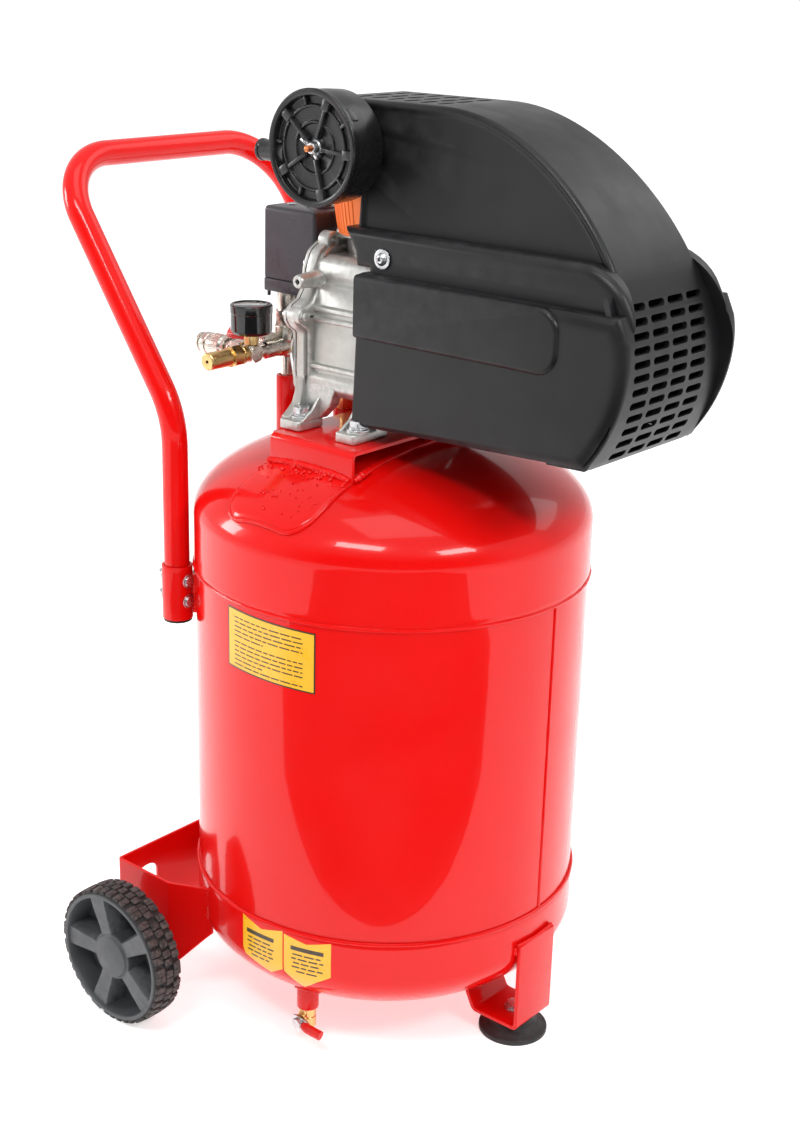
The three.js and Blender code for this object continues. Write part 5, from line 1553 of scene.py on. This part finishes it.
# ---- Air path ---------------------------------------------------------------------------------------------
def intake_filter():
    low, high = extent("filter_cover")
    x, z = (low.x + high.x) / 2, (low.z + high.z) / 2
    centre = (x, 0, z)
    front, back = low.y, -58
    radius = 48
    can = turned(eased([
        (8, -38.4), (12, -38.4), (12, back, 2), (radius - 1.2, back, 3), (radius, front + 22, 6),
        (radius, front + 6, 0.4),
        (radius - 2.5, front + 6), (radius - 2.5, back - 2.5), (8, back - 2.5),
    ], True, 10), "y", centre, 144)
    snorkel_at = (0, back - 24, z - 8)
    snorkel = turned(eased([(7.4, x - 73, 0.5), (9.6, x - 73, 0.8), (9.6, x - 70, 0.5), (8.9, x - 69, 0.5),
        (9.8, x - 40), (7.4, x - 40)], True, 15),
                     "x", snorkel_at, 64)
    flare = turned(
        eased([(9.5, x - 52), (13.5, x - 42, 3), (13.5, x - 36), (7.6, x - 36), (7.6, x - 52)], True, 15),
        "x", snorkel_at, 64
    )
    clips = []
    for k in range(3):
        clip = box(-6, 6, front + 5, front + 14, radius - 0.6, radius + 1.1, 0.7)
        clips.append(
            moved(clip, Matrix.Translation((x, 0, z)) @ Matrix.Rotation(math.tau * k / 3 + 0.9, 4, "Y"))
        )
    piece("filter_can", join(can, snorkel, flare, *clips), "filter_plastic", "compressor", "filter_base")
    stud = disc(2.3, front - 5, back, "y", centre, 0.5, 24)
    threads = [tube(2.75, 2.1, front - 4.6 + k, front - 4.1 + k, "y", centre, 0.15, 24) for k in range(5)]
    piece("filter_stud", join(stud, *threads), "copper", "compressor")

    cover = turned(eased([
        (2.8, front + 10.6), (45, front + 10.6, 1), (45, front + 6.4), (49.0, front + 6.2, 0.5),
        (49.3, front + 1.4, 1.0), (48.2, front, 1.0),
        (45.6, front + 0.1, 1.0), (43.6, front + 1.0, 1.0), (42.8, front + 6.8, 1.5),
        (36.2, front + 6.8, 1.2), (35.8, front + 4.2, 0.9),
        (33.8, front + 4.0, 0.9), (33.4, front + 6.2, 0.8), (23, front + 6.6, 1), (22.4, front + 5.2, 0.7),
        (20.8, front + 5.2, 0.7),
        (20, front + 7.2, 1), (11, front + 8.2, 2), (8.5, front + 6.4, 0.8), (2.8, front + 6.2, 0.4),
    ], True, 12), "y", centre, 144)
    parts = [cover]
    for k in range(5):
        turn = math.radians(-4 + 72 * k)
        long_rib = box(9.5, 44, front + 2.8, front + 8, -1.5, 1.5, 0.6)
        block = box(34, 44.5, front + 1.6, front + 8, -4.0, 4.0, 1.0)
        for bm in (long_rib, block):
            parts.append(moved(bm, Matrix.Translation((x, 0, z)) @ Matrix.Rotation(-turn, 4, "Y")))
        short = box(36, 44, front + 3.2, front + 8, -1.2, 1.2, 0.5)
        parts.append(
            moved(short, Matrix.Translation((x, 0, z)) @ Matrix.Rotation(-turn - math.radians(36), 4, "Y"))
        )
    piece("filter_lid", join(*parts), "filter_plastic", "compressor", "filter_cover")

    y0 = extent("filter_wing_nut")[1].y
    hub = turned(eased([(2.7, y0, 0.3), (7.4, y0, 0.6), (6.9, y0 - 1.2, 0.4), (5.6, y0 - 2.0, 0.8),
        (4.6, y0 - 7.2, 0.8), (2.7, y0 - 7.4, 0.3)], True, 15),
                 "y", centre, 48)
    wings = []
    for s in (-1, 1):
        outline = eased(
            [
                (3.5, y0 - 1.6), (7, y0 - 1.4, 2), (12.6, y0 - 6.5, 3), (12.2, y0 - 10.4, 2.4),
                (8.6, y0 - 9.8, 3), (3.8, y0 - 6.8)
            ]
        )
        wing = prism([(s * u, v) for u, v in outline], "xy", -1.1, 1.1, 0.8)
        wings.append(moved(wing, Matrix.Translation((x, 0, z)) @ Matrix.Rotation(0.7, 4, "Y")))
    piece("wing_nut", join(hub, *wings), "zinc_steel", "compressor", "filter_wing_nut")


def discharge():
    x, y = middle("check_valve").x, middle("check_valve").y
    low, high = extent("check_valve")
    at = (x, y, 0)
    head_back = extent("cylinder_head")[0].x
    path = route([((head_back - 0.4, y, 818), 0), ((x, y, 818), 16), ((x, y, high.z + 0.2), 0)], 6)
    piece("outlet_pipe", sweep(along(path, 5), 4.5, sides=28), "nickel", "compressor", "discharge_pipe")
    boss_top = extent("check_valve_boss")[1].z
    parts = [
        hexagon(22, boss_top + 0.3, boss_top + 14, "z", at, 1.2),
        turned(
            eased(
                [
                    (3, boss_top + 13), (8.6, boss_top + 13, 1), (8, boss_top + 18, 1), (8, boss_top + 33),
                    (3, boss_top + 33)
                ],
                True, 20
            ),
            "z", at, 60
        ),
        hexagon(17, boss_top + 32, high.z - 0.5, "z", at, 1.0, 0.3),
        disc(5.5, low.z, boss_top + 1, "z", at, 0.3),
        tube(6.4, 4.6, high.z - 1, high.z + 2.5, "z", at, 0.6),
    ]
    piece("check_valve_body", join(*parts), "brass", "compressor", "check_valve")
    flange = hexagon(14, head_back - 12, head_back - 0.3, "x", (0, y, 818), 0.9)
    piece("outlet_union", flange, "brass", "compressor")


def pressure_switch():
    low, high = extent("switch_base")
    lid_low, lid_high = extent("switch_cover")
    base = prism(
        eased([(low.x, low.y, 3), (high.x, low.y, 3), (high.x, high.y, 3), (low.x, high.y, 3)]), "xy", low.z,
        high.z - 0.35, 1.2
    )
    pins = [
        disc(1.6, low.z - 5, low.z + 1, "z", (px, py, 0), 0.4, 20) for px,
        py in ((-127, -36), (-92, -36), (-70, -36), (-127, 1))
    ]
    foot_plate = box(-129, -70, low.y + 8, high.y - 8, low.z - 2, low.z + 1, 0.8)
    piece("switch_tray", join(base, foot_plate, *pins), "switch_plastic", "compressor", "switch_base")
    outline = eased([(low.x, low.y, 4), (high.x, low.y, 4), (high.x, high.y, 4), (low.x, high.y, 4)], step=8)
    cover = banded(outline, "xy",
        [(0.6, lid_low.z - 0.2), (0, lid_low.z + 0.4), (0.3, lid_high.z - 5.0), (0.7, lid_high.z - 2.8),
            (1.5, lid_high.z - 1.2),
                                   (2.8, lid_high.z - 0.3), (4.6, lid_high.z)])
    rim = tube(10.5, 4.2, lid_high.z - 1, lid_high.z + 1.6, "z", (-84, -8, 0), 0.6)
    screw = disc(4.2, lid_high.z - 0.2, lid_high.z + 1.2, "z", (-116, -18, 0), 0.6, 40)
    slot = box(-119.6, -112.4, -18.6, -17.4, lid_high.z + 0.5, lid_high.z + 3, 0)
    piece("switch_lid", join(cover, rim), "switch_plastic", "compressor", "switch_cover")
    piece("switch_screw", carve(screw, slot), "zinc_steel", "compressor")
    knob_low, knob_high = extent("switch_knob")
    at = (-84, -8, 0)
    knob = turned(eased([(0, knob_low.z), (3, knob_low.z, 0.3), (3, lid_high.z + 5.4),
        (6.8, lid_high.z + 6, 1), (8, lid_high.z + 8.5, 1.5),
                         (8, knob_high.z - 1.5, 1.5), (6.4, knob_high.z, 1.0), (0, knob_high.z - 0.5)],
                         False, 12), "z", at, 64)
    grips = [moved(box(-0.7, 0.7, 7.4, 8.6, lid_high.z + 8, knob_high.z - 1.8, 0.4),
        Matrix.Translation((-84, -8, 0)) @ Matrix.Rotation(math.tau * k / 18, 4, "Z"))
             for k in range(18)]
    piece("switch_button", join(knob, *grips), "red_plastic", "switch_knob", "switch_knob")


def manifold():
    x, y = middle("riser_pipe").x, middle("riser_pipe").y
    z = middle("coupler_body").z
    low = extent("manifold")
    end = low[0].y
    gauge = middle("gauge_case")
    reg = middle("regulator_knob")
    bar = turned(eased([(0, end + 0.0), (4.2, end), (7.9, end, 0.5), (7.9, end + 9, 0.6),
        (7.0, end + 11, 0.6), (7.0, -58, 1), (8.6, -56, 1), (8.6, -32, 1),
                        (7.4, -30, 0.6), (7.4, -12, 1), (0, -12)], False, 15), "y", (x, 0, z), 60)
    nipple = turned(
        eased(
            [(4, low[0].z), (6.3, low[0].z, 0.3), (6.3, z - 10, 0.5), (8.8, z - 8, 1), (8.8, z), (4, z)],
            True, 15
        ),
        "z", (x, y, 0), 60
    )
    port = [
        disc(11.8, z + 5, z + 20, "z", (x, y, 0), 1.5, 60),
        hexagon(21, z + 18, z + 34, "z", (x, y, 0), 1.4, 0.2),
        disc(9.5, z + 33, low[1].z, "z", (x, y, 0), 0.8, 60),
        disc(9, -40, -8, "y", (x, 0, z), 2.5, 60),
    ]
    regulator = turned(eased([(0, -138.2), (10, -138.2, 0.6), (10, -134, 0.6), (9, -133, 0.5),
        (9, -126, 0.5), (11, -125, 1.0), (11, x), (0, x)], False, 15),
                       "x", (0, reg.y, reg.z), 60)
    outlet = [
        disc(6.2, -123.8, x, "x", (0, gauge.y, z), 0.8, 48),
        hexagon(15, x - 8, x + 8, "x", (0, gauge.y, z), 1.0, 0.26),
    ]
    tee = turned(eased([(0, z - 1), (7.2, z - 1), (7.0, z + 7, 0.8), (5.8, z + 8.4, 0.5),
        (5.8, gauge.z - 21), (0, gauge.z - 21)], False, 15),
                 "z", (x, gauge.y, 0), 48)
    piece(
        "manifold_cast", join(bar, nipple, *port, regulator, *outlet, tee), "nickel", "compressor", "manifold"
    )
    gauge_low = extent("gauge_case")[0].z
    piece(
        "gauge_stem", hexagon(12, gauge_low - 2.5, gauge_low + 7.0, "z", (x, gauge.y, 0), 0.9), "brass",
        "compressor"
    )

    low_y, high_y = extent("safety_valve")[0].y, extent("safety_valve")[1].y
    at = (x, 0, z)
    body = turned(eased([
        (0, high_y), (7.2, high_y), (7.2, high_y - 4.6, 0.4), (8.9, high_y - 5, 0.6), (8.9, high_y - 7, 0.5),
        (7.4, high_y - 8, 0.5), (7.4, high_y - 22.4, 0.4),
        (8.0, high_y - 23.4, 0.5), (8.0, low_y + 1.0, 1.2), (6.8, low_y, 0.6), (1.5, low_y, 0.4),
        (1.5, low_y + 8), (0, low_y + 8),
    ], False, 15), "y", at, 72)
    nut = hexagon(17.6, high_y - 20.5, high_y - 8.6, "y", at, 1.2, 0.4)
    piece("safety_body", join(body, nut), "brass", "compressor", "safety_valve")

    knob_low, knob_high = extent("regulator_knob")
    axis = (0, reg.y, reg.z)
    core = turned(eased([(0, knob_low.x), (10.6, knob_low.x, 1.6), (12.0, knob_low.x + 5, 2),
        (12.2, knob_high.x, 0.6), (0, knob_high.x)], False, 12),
                  "x", axis, 72)
    grips = []
    for k in range(16):
        grip = box(knob_low.x + 3.4, knob_high.x - 0.8, -1.15, 1.15, 11.0, 13.4, 0.8)
        moved(grip, Matrix.Translation(axis) @ Matrix.Rotation(math.tau * k / 16, 4, "X"))
        grips.append(grip)
    piece("regulator_grip", join(core, *grips), "red_plastic", "regulator_knob", "regulator_knob")


def gauge():
    low, high = extent("gauge_case")
    at = ((low.x + high.x) / 2, (low.y + high.y) / 2, 0)
    radius = (high.y - low.y) / 2
    bottom = low.z + 7.7
    shell = turned(eased([
        (0, bottom + 0.2), (radius - 2.4, bottom, 2.2), (radius - 0.4, bottom + 3.0, 1.2),
        (radius - 0.4, high.z - 8.6, 0.3), (radius - 0.1, high.z - 8.0, 0.3),
        (radius, high.z - 1.0, 0.9), (radius - 1.2, high.z, 0.7), (radius - 2.4, high.z - 0.9, 0.4),
        (radius - 2.4, high.z - 5), (0, high.z - 5),
    ], False, 12), "z", at, 120)
    piece("gauge_body", shell, "gauge_black", "compressor", "gauge_case")
    rim = tube(radius - 2.45, radius - 3.3, high.z - 4.8, high.z - 1.4, "z", at, 0.2, 96)
    piece("gauge_inner_rim", rim, "zinc_steel", "compressor")
    piece(
        "gauge_face", disc(radius - 3.3, high.z - 4.9, high.z - 4.5, "z", at, 0.1, 96), "dial_white",
        "compressor"
    )
    ticks = []
    for k in range(41):
        turn = math.radians(225 - 270 * k / 40)
        long_tick = k % 5 == 0
        inner = radius - (7.4 if long_tick else 5.8)
        tick = box(
            inner, radius - 4.3, -0.28 if long_tick else -0.14, 0.28 if long_tick else 0.14, high.z - 4.5,
            high.z - 4.42, 0
        )
        ticks.append(
            moved(tick, Matrix.Translation((at[0], at[1], 0)) @ Matrix.Rotation(turn - math.pi / 2, 4, "Z"))
        )
    arc = turned(
        [(8.6, high.z - 4.5), (9.1, high.z - 4.5), (9.1, high.z - 4.43), (8.6, high.z - 4.43)], "z", at, 96
    )
    piece("gauge_ticks", join(arc, *ticks), "gauge_black", "compressor")
    needle_low = extent("gauge_needle")[0]
    hub = disc(2.1, high.z - 4.3, high.z - 3.3, "z", at, 0.3, 40)
    pointer = prism([(at[0] - 0.9, at[1] + 4.2), (at[0] + 0.9, at[1] + 4.2), (at[0] + 0.22, at[1] - 12.8),
        (at[0] - 0.22, at[1] - 12.8)],
                    "xy", needle_low.z + 0.1, needle_low.z + 0.5, 0)
    piece("gauge_pointer", join(hub, pointer), "gauge_black", "gauge_needle", "gauge_needle")
    lens = turned(
        eased(
            [
                (0, high.z - 2.3), (radius - 2.9, high.z - 2.3), (radius - 2.9, high.z - 1.3, 0.3),
                (0, high.z - 0.9)
            ],
            False, 20
        ),
        "z", at, 96
    )
    piece("gauge_lens", lens, "glass", "compressor")


def coupler():
    low, high = extent("coupler_body")
    at = (0, (low.y + high.y) / 2, (low.z + high.z) / 2)
    body = turned(eased([
        (5.4, low.x + 0.2, 0.4), (8.4, low.x, 0.6), (9.5, low.x + 1.2, 0.5), (9.5, low.x + 3.8, 0.4),
        (7.4, low.x + 4.4, 0.3), (7.4, -139),
        (9.2, -138.6, 0.5), (9.2, -137, 0.5), (5.4, -137),
    ], True, 15), "x", at, 84)
    nut = hexagon(17, -138, high.x, "x", at, 1.2, 0.1)
    inner = tube(5.3, 3.4, -168, -150, "x", at, 0.4)
    piece("coupler_barrel", join(body, nut, inner), "nickel", "compressor", "coupler_body")
    s_low, s_high = extent("coupler_sleeve")
    sleeve = turned(eased([
        (7.8, s_low.x + 0.1, 0.3), (9.5, s_low.x, 0.5), (10.6, s_low.x + 3, 0.8), (10.6, s_low.x + 8, 0.6),
        (9.9, s_low.x + 8.8, 0.4), (9.9, s_low.x + 11, 0.4),
        (10.6, s_low.x + 12, 0.6), (10.6, s_high.x - 6, 0.8), (9.4, s_high.x - 3.4, 0.6),
        (9.4, s_high.x, 0.4), (7.8, s_high.x, 0.3),
    ], True, 15), "x", at, 96)
    knurls = []
    for k in range(36):
        bar = box(s_low.x + 13, s_high.x - 7, -0.45, 0.45, 10.3, 10.95, 0.25, 1)
        knurls.append(moved(bar, Matrix.Translation(at) @ Matrix.Rotation(math.tau * k / 36, 4, "X")))
    piece("coupler_collar", join(sleeve, *knurls), "nickel", "coupler_sleeve", "coupler_sleeve")


def drain_valve():
    low = extent("drain_valve")[0]
    port = middle("drain_boss")
    x, y = port.x, port.y
    at = (x, y, 0)
    boss_low = extent("drain_boss")[0].z
    lever = extent("drain_lever")
    pivot_z = 24
    parts = [
        hexagon(15, boss_low - 9, boss_low - 0.3, "z", at, 1.1),
        disc(3.4, boss_low - 1, boss_low + 12, "z", at, 0.2, 32),
        turned(
            eased(
                [
                    (1.8, 14, 0.3), (6.8, 14, 1), (8, 16.5, 1), (8, boss_low - 10, 1), (6.6, boss_low - 8.6),
                    (1.8, boss_low - 8.6)
                ],
                True, 15
            ),
            "z", at, 64
        ),
        turned(eased([(1.8, low.z, 0.3), (5, low.z, 0.7), (5, 15), (1.8, 15)], True, 20), "z", at, 48),
        disc(7.2, y - 9.6, y, "y", (x, 0, pivot_z), 0.7, 48),
        disc(3.2, lever[1].y - 3.8, y, "y", (x, 0, pivot_z), 0.3, 32),
    ]
    piece("drain_body", join(*parts), "brass", "compressor", "drain_valve")
    blade_y = lever[1].y
    nut = hexagon(9.5, blade_y - 6.2, blade_y - 2.1, "y", (x, 0, pivot_z), 0.7, 0.3)
    plate = prism(eased([(x - 9, pivot_z - 7, 4.5), (x + 12, pivot_z - 6, 3), (x + 12, pivot_z + 4.5, 3),
        (x - 9, pivot_z + 7, 4.5)]), "xz",
                  blade_y - 1.8, blade_y, 0.4)
    piece("drain_plate", join(nut, plate), "zinc_steel", "drain_lever")
    path = route(
        [
            ((x + 6, blade_y - 2.2, pivot_z), 0), ((x + 14, blade_y - 4.5, pivot_z + 0.4), 8),
            ((lever[1].x, blade_y - 4.8, pivot_z + 0.6), 0)
        ],
        8
    )
    grip = sweep(along(path, 2), lambda i: 4.6 if i > 1 else 3.8 + 0.4 * i, sides=24, flat=0.62)
    piece("drain_sleeve", grip, "red_plastic", "drain_lever", "drain_lever")


# ---- Inside -----------------------------------------------------------------------------------------------
def inside():
    for node, finish in (
        ("motor_stator", "motor_iron"), ("motor_rotor", "motor_iron"), ("motor_end_bell", "cast_aluminium"),
        ("crankshaft", "zinc_steel"),
        ("connecting_rod", "cast_aluminium"), ("piston", "cast_aluminium"), ("filter_element", "foam"),
    ):
        keep(node, finish)
    fan = extent("cooling_fan")
    blades = [
        turned(
            eased(
                [(10.3, fan[0].x, 0.4), (17, fan[0].x, 1.2), (17, fan[1].x, 2), (10.3, fan[1].x, 0.4)], True,
                15
            ),
            "x", (0, 0, CRANK_Z), 60
        )
    ]
    for k in range(7):
        rows = []
        for reach in (15, 24, 36, 48, 58, 61.5):
            pitch = 0.62 - reach * 0.002
            wide = 12.5 if reach < 60 else 10.5
            section = []
            for u, thick in ((-wide, 0.3), (-wide * 0.4, 1.2), (wide * 0.4, 1.2), (wide, 0.3)):
                section.append((u, thick))
            loop = section + [(u, -t) for u, t in reversed(section)]
            rows.append(
                [
                    (
                        187 + u * math.cos(pitch) - t * math.sin(pitch),
                        u * math.sin(pitch) + t * math.cos(pitch), CRANK_Z + reach
                    ) for u,
                    t in loop
                ]
            )
        blades.append(turned_about(skin(rows), math.tau * k / 7, "X", (0, 0, CRANK_Z)))
    piece("fan", join(*blades), "black_plastic", "crank_assembly", "cooling_fan")


# ---- Stage ------------------------------------------------------------------------------------------------
def card(name, outline, z, finish):
    bm = bmesh.new()
    bm.faces.new([bm.verts.new((x, y, z)) for x, y in outline])
    mesh = bpy.data.meshes.new(name)
    bm.to_mesh(mesh)
    bm.free()
    obj = bpy.data.objects.new(name, mesh)
    bpy.context.scene.collection.objects.link(obj)
    mesh.materials.append(finish)
    return obj


def stage():
    s = Surface("floor_paper", (0.86, 0.86, 0.865), 0.6, specular_ior_level=0.15)
    s.tint(s.span(s.noise(900, 3), 0.4, 0.7, 0, 0.2), (0.84, 0.84, 0.85))
    s.shader.inputs["Emission Color"].default_value = (1, 1, 1, 1)
    s.shader.inputs["Emission Strength"].default_value = 0.56
    card(
        "floor", [(40 * math.cos(math.tau * k / 128), 40 * math.sin(math.tau * k / 128)) for k in range(128)],
        0, s.material
    )

    dark = Surface("floor_cloth", (0.02, 0.02, 0.02), 0.9, specular_ior_level=0.0)
    toward, across = Vector((0.6385, -0.7696)), Vector((0.7696, 0.6385))
    edge = (
        (0.44, 0.0), (0.46, 0.3), (0.5, 0.6), (0.7, 1.0), (3.5, 1.6), (3.5, -1.6), (0.6, -1.0), (0.44, -0.6)
    )
    outline = [tuple(toward * u + across * v) for u, v in edge]
    cloth = card("cloth", outline, 0.003, dark.material)
    cloth.visible_camera = False
    cloth.visible_diffuse = False
    cloth.visible_shadow = False
    cloth.visible_transmission = False

    world = bpy.data.worlds.new("studio")
    bpy.context.scene.world = world
    world.use_nodes = True
    tree = world.node_tree
    background = tree.nodes["Background"]
    place = tree.nodes.new("ShaderNodeTexCoord")

    def graded(direction, low, high, out_low, out_high):
        """A number that changes with the angle between a ray and a direction."""
        dot = tree.nodes.new("ShaderNodeVectorMath")
        dot.operation = "DOT_PRODUCT"
        dot.inputs[1].default_value = Vector(direction).normalized()
        tree.links.new(place.outputs["Generated"], dot.inputs[0])
        span = tree.nodes.new("ShaderNodeMapRange")
        span.interpolation_type = "SMOOTHSTEP"
        for key, number in zip(("From Min", "From Max", "To Min", "To Max"), (low, high, out_low, out_high)):
            span.inputs[key].default_value = number
        tree.links.new(dot.outputs["Value"], span.inputs["Value"])
        return span.outputs["Result"]

    def combined(operation, a, b):
        node = tree.nodes.new("ShaderNodeMath")
        node.operation = operation
        tree.links.new(a, node.inputs[0])
        tree.links.new(b, node.inputs[1])
        return node.outputs[0]

    front = graded((toward.x, toward.y, 0), 0.2, 0.85, 0.0, 1.0)
    low_band = graded((0, 0, 1), 0.35, 0.75, 1.0, 0.0)
    shade = combined("MULTIPLY", front, low_band)
    invert = tree.nodes.new("ShaderNodeMapRange")
    for key, number in zip(("From Min", "From Max", "To Min", "To Max"), (0, 1, 0.72, 0.06)):
        invert.inputs[key].default_value = number
    tree.links.new(shade, invert.inputs["Value"])
    path = tree.nodes.new("ShaderNodeLightPath")
    pick = tree.nodes.new("ShaderNodeMix")
    pick.data_type = "FLOAT"
    tree.links.new(path.outputs["Is Camera Ray"], pick.inputs["Factor"])
    tree.links.new(invert.outputs["Result"], pick.inputs["A"])
    pick.inputs["B"].default_value = 1.0
    tree.links.new(pick.outputs["Result"], background.inputs["Strength"])
    background.inputs["Color"].default_value = (1.0, 1.0, 1.0, 1)

    def lamp(name, at, aim, width, height, power):
        data = bpy.data.lights.new(name, "AREA")
        data.shape = "RECTANGLE"
        data.size, data.size_y = width, height
        data.energy = power
        light = bpy.data.objects.new(name, data)
        bpy.context.scene.collection.objects.link(light)
        light.location = Vector(at)
        light.rotation_euler = (Vector(aim) - Vector(at)).to_track_quat("-Z", "Y").to_euler()

    target = Vector((0.05, 0, 0.5))

    def aimed(name, azimuth, elevation, distance, width, height, power):
        a, e = math.radians(azimuth), math.radians(elevation)
        away = Vector((math.cos(a) * math.cos(e), math.sin(a) * math.cos(e), math.sin(e)))
        lamp(name, target + away * distance, target, width, height, power)

    aimed("left", -153, 14, 2.8, 0.62, 0.8, 22)
    aimed("front", -74, 50, 2.8, 1.1, 0.42, 27)
    aimed("right", -10, 39, 2.8, 0.9, 0.46, 25)
    aimed("back", 70, 40, 3.0, 1.6, 1.4, 10)
    aimed("top", -33, 84, 2.8, 1.6, 1.4, 12)


def camera():
    right = Vector((0.7637, 0.6451, 0.0247))
    up = Vector((-0.2333, 0.2401, 0.9423))
    ahead = Vector((-0.6019, 0.7254, -0.3339))
    data = bpy.data.cameras.new("view")
    data.lens = 55.82
    data.sensor_width = 36
    obj = bpy.data.objects.new("view", data)
    bpy.context.scene.collection.objects.link(obj)
    basis = Matrix((right, up, -ahead)).transposed().to_4x4()
    obj.matrix_world = Matrix.Translation((1.0057 + AXIS_X, -1.2003, 0.9893)) @ basis
    bpy.context.scene.camera = obj
    bpy.context.scene.view_settings.view_transform = "Standard"


tank()
labels()
tank_ports()
saddle()
wheel_bracket()
wheel("near", -1)
wheel("far", 1)
foot()
handle()
crankcase()
cylinder()
air_guide()
shroud()
intake_filter()
discharge()
pressure_switch()
manifold()
gauge()
coupler()
drain_valve()
inside()
stage()
camera()
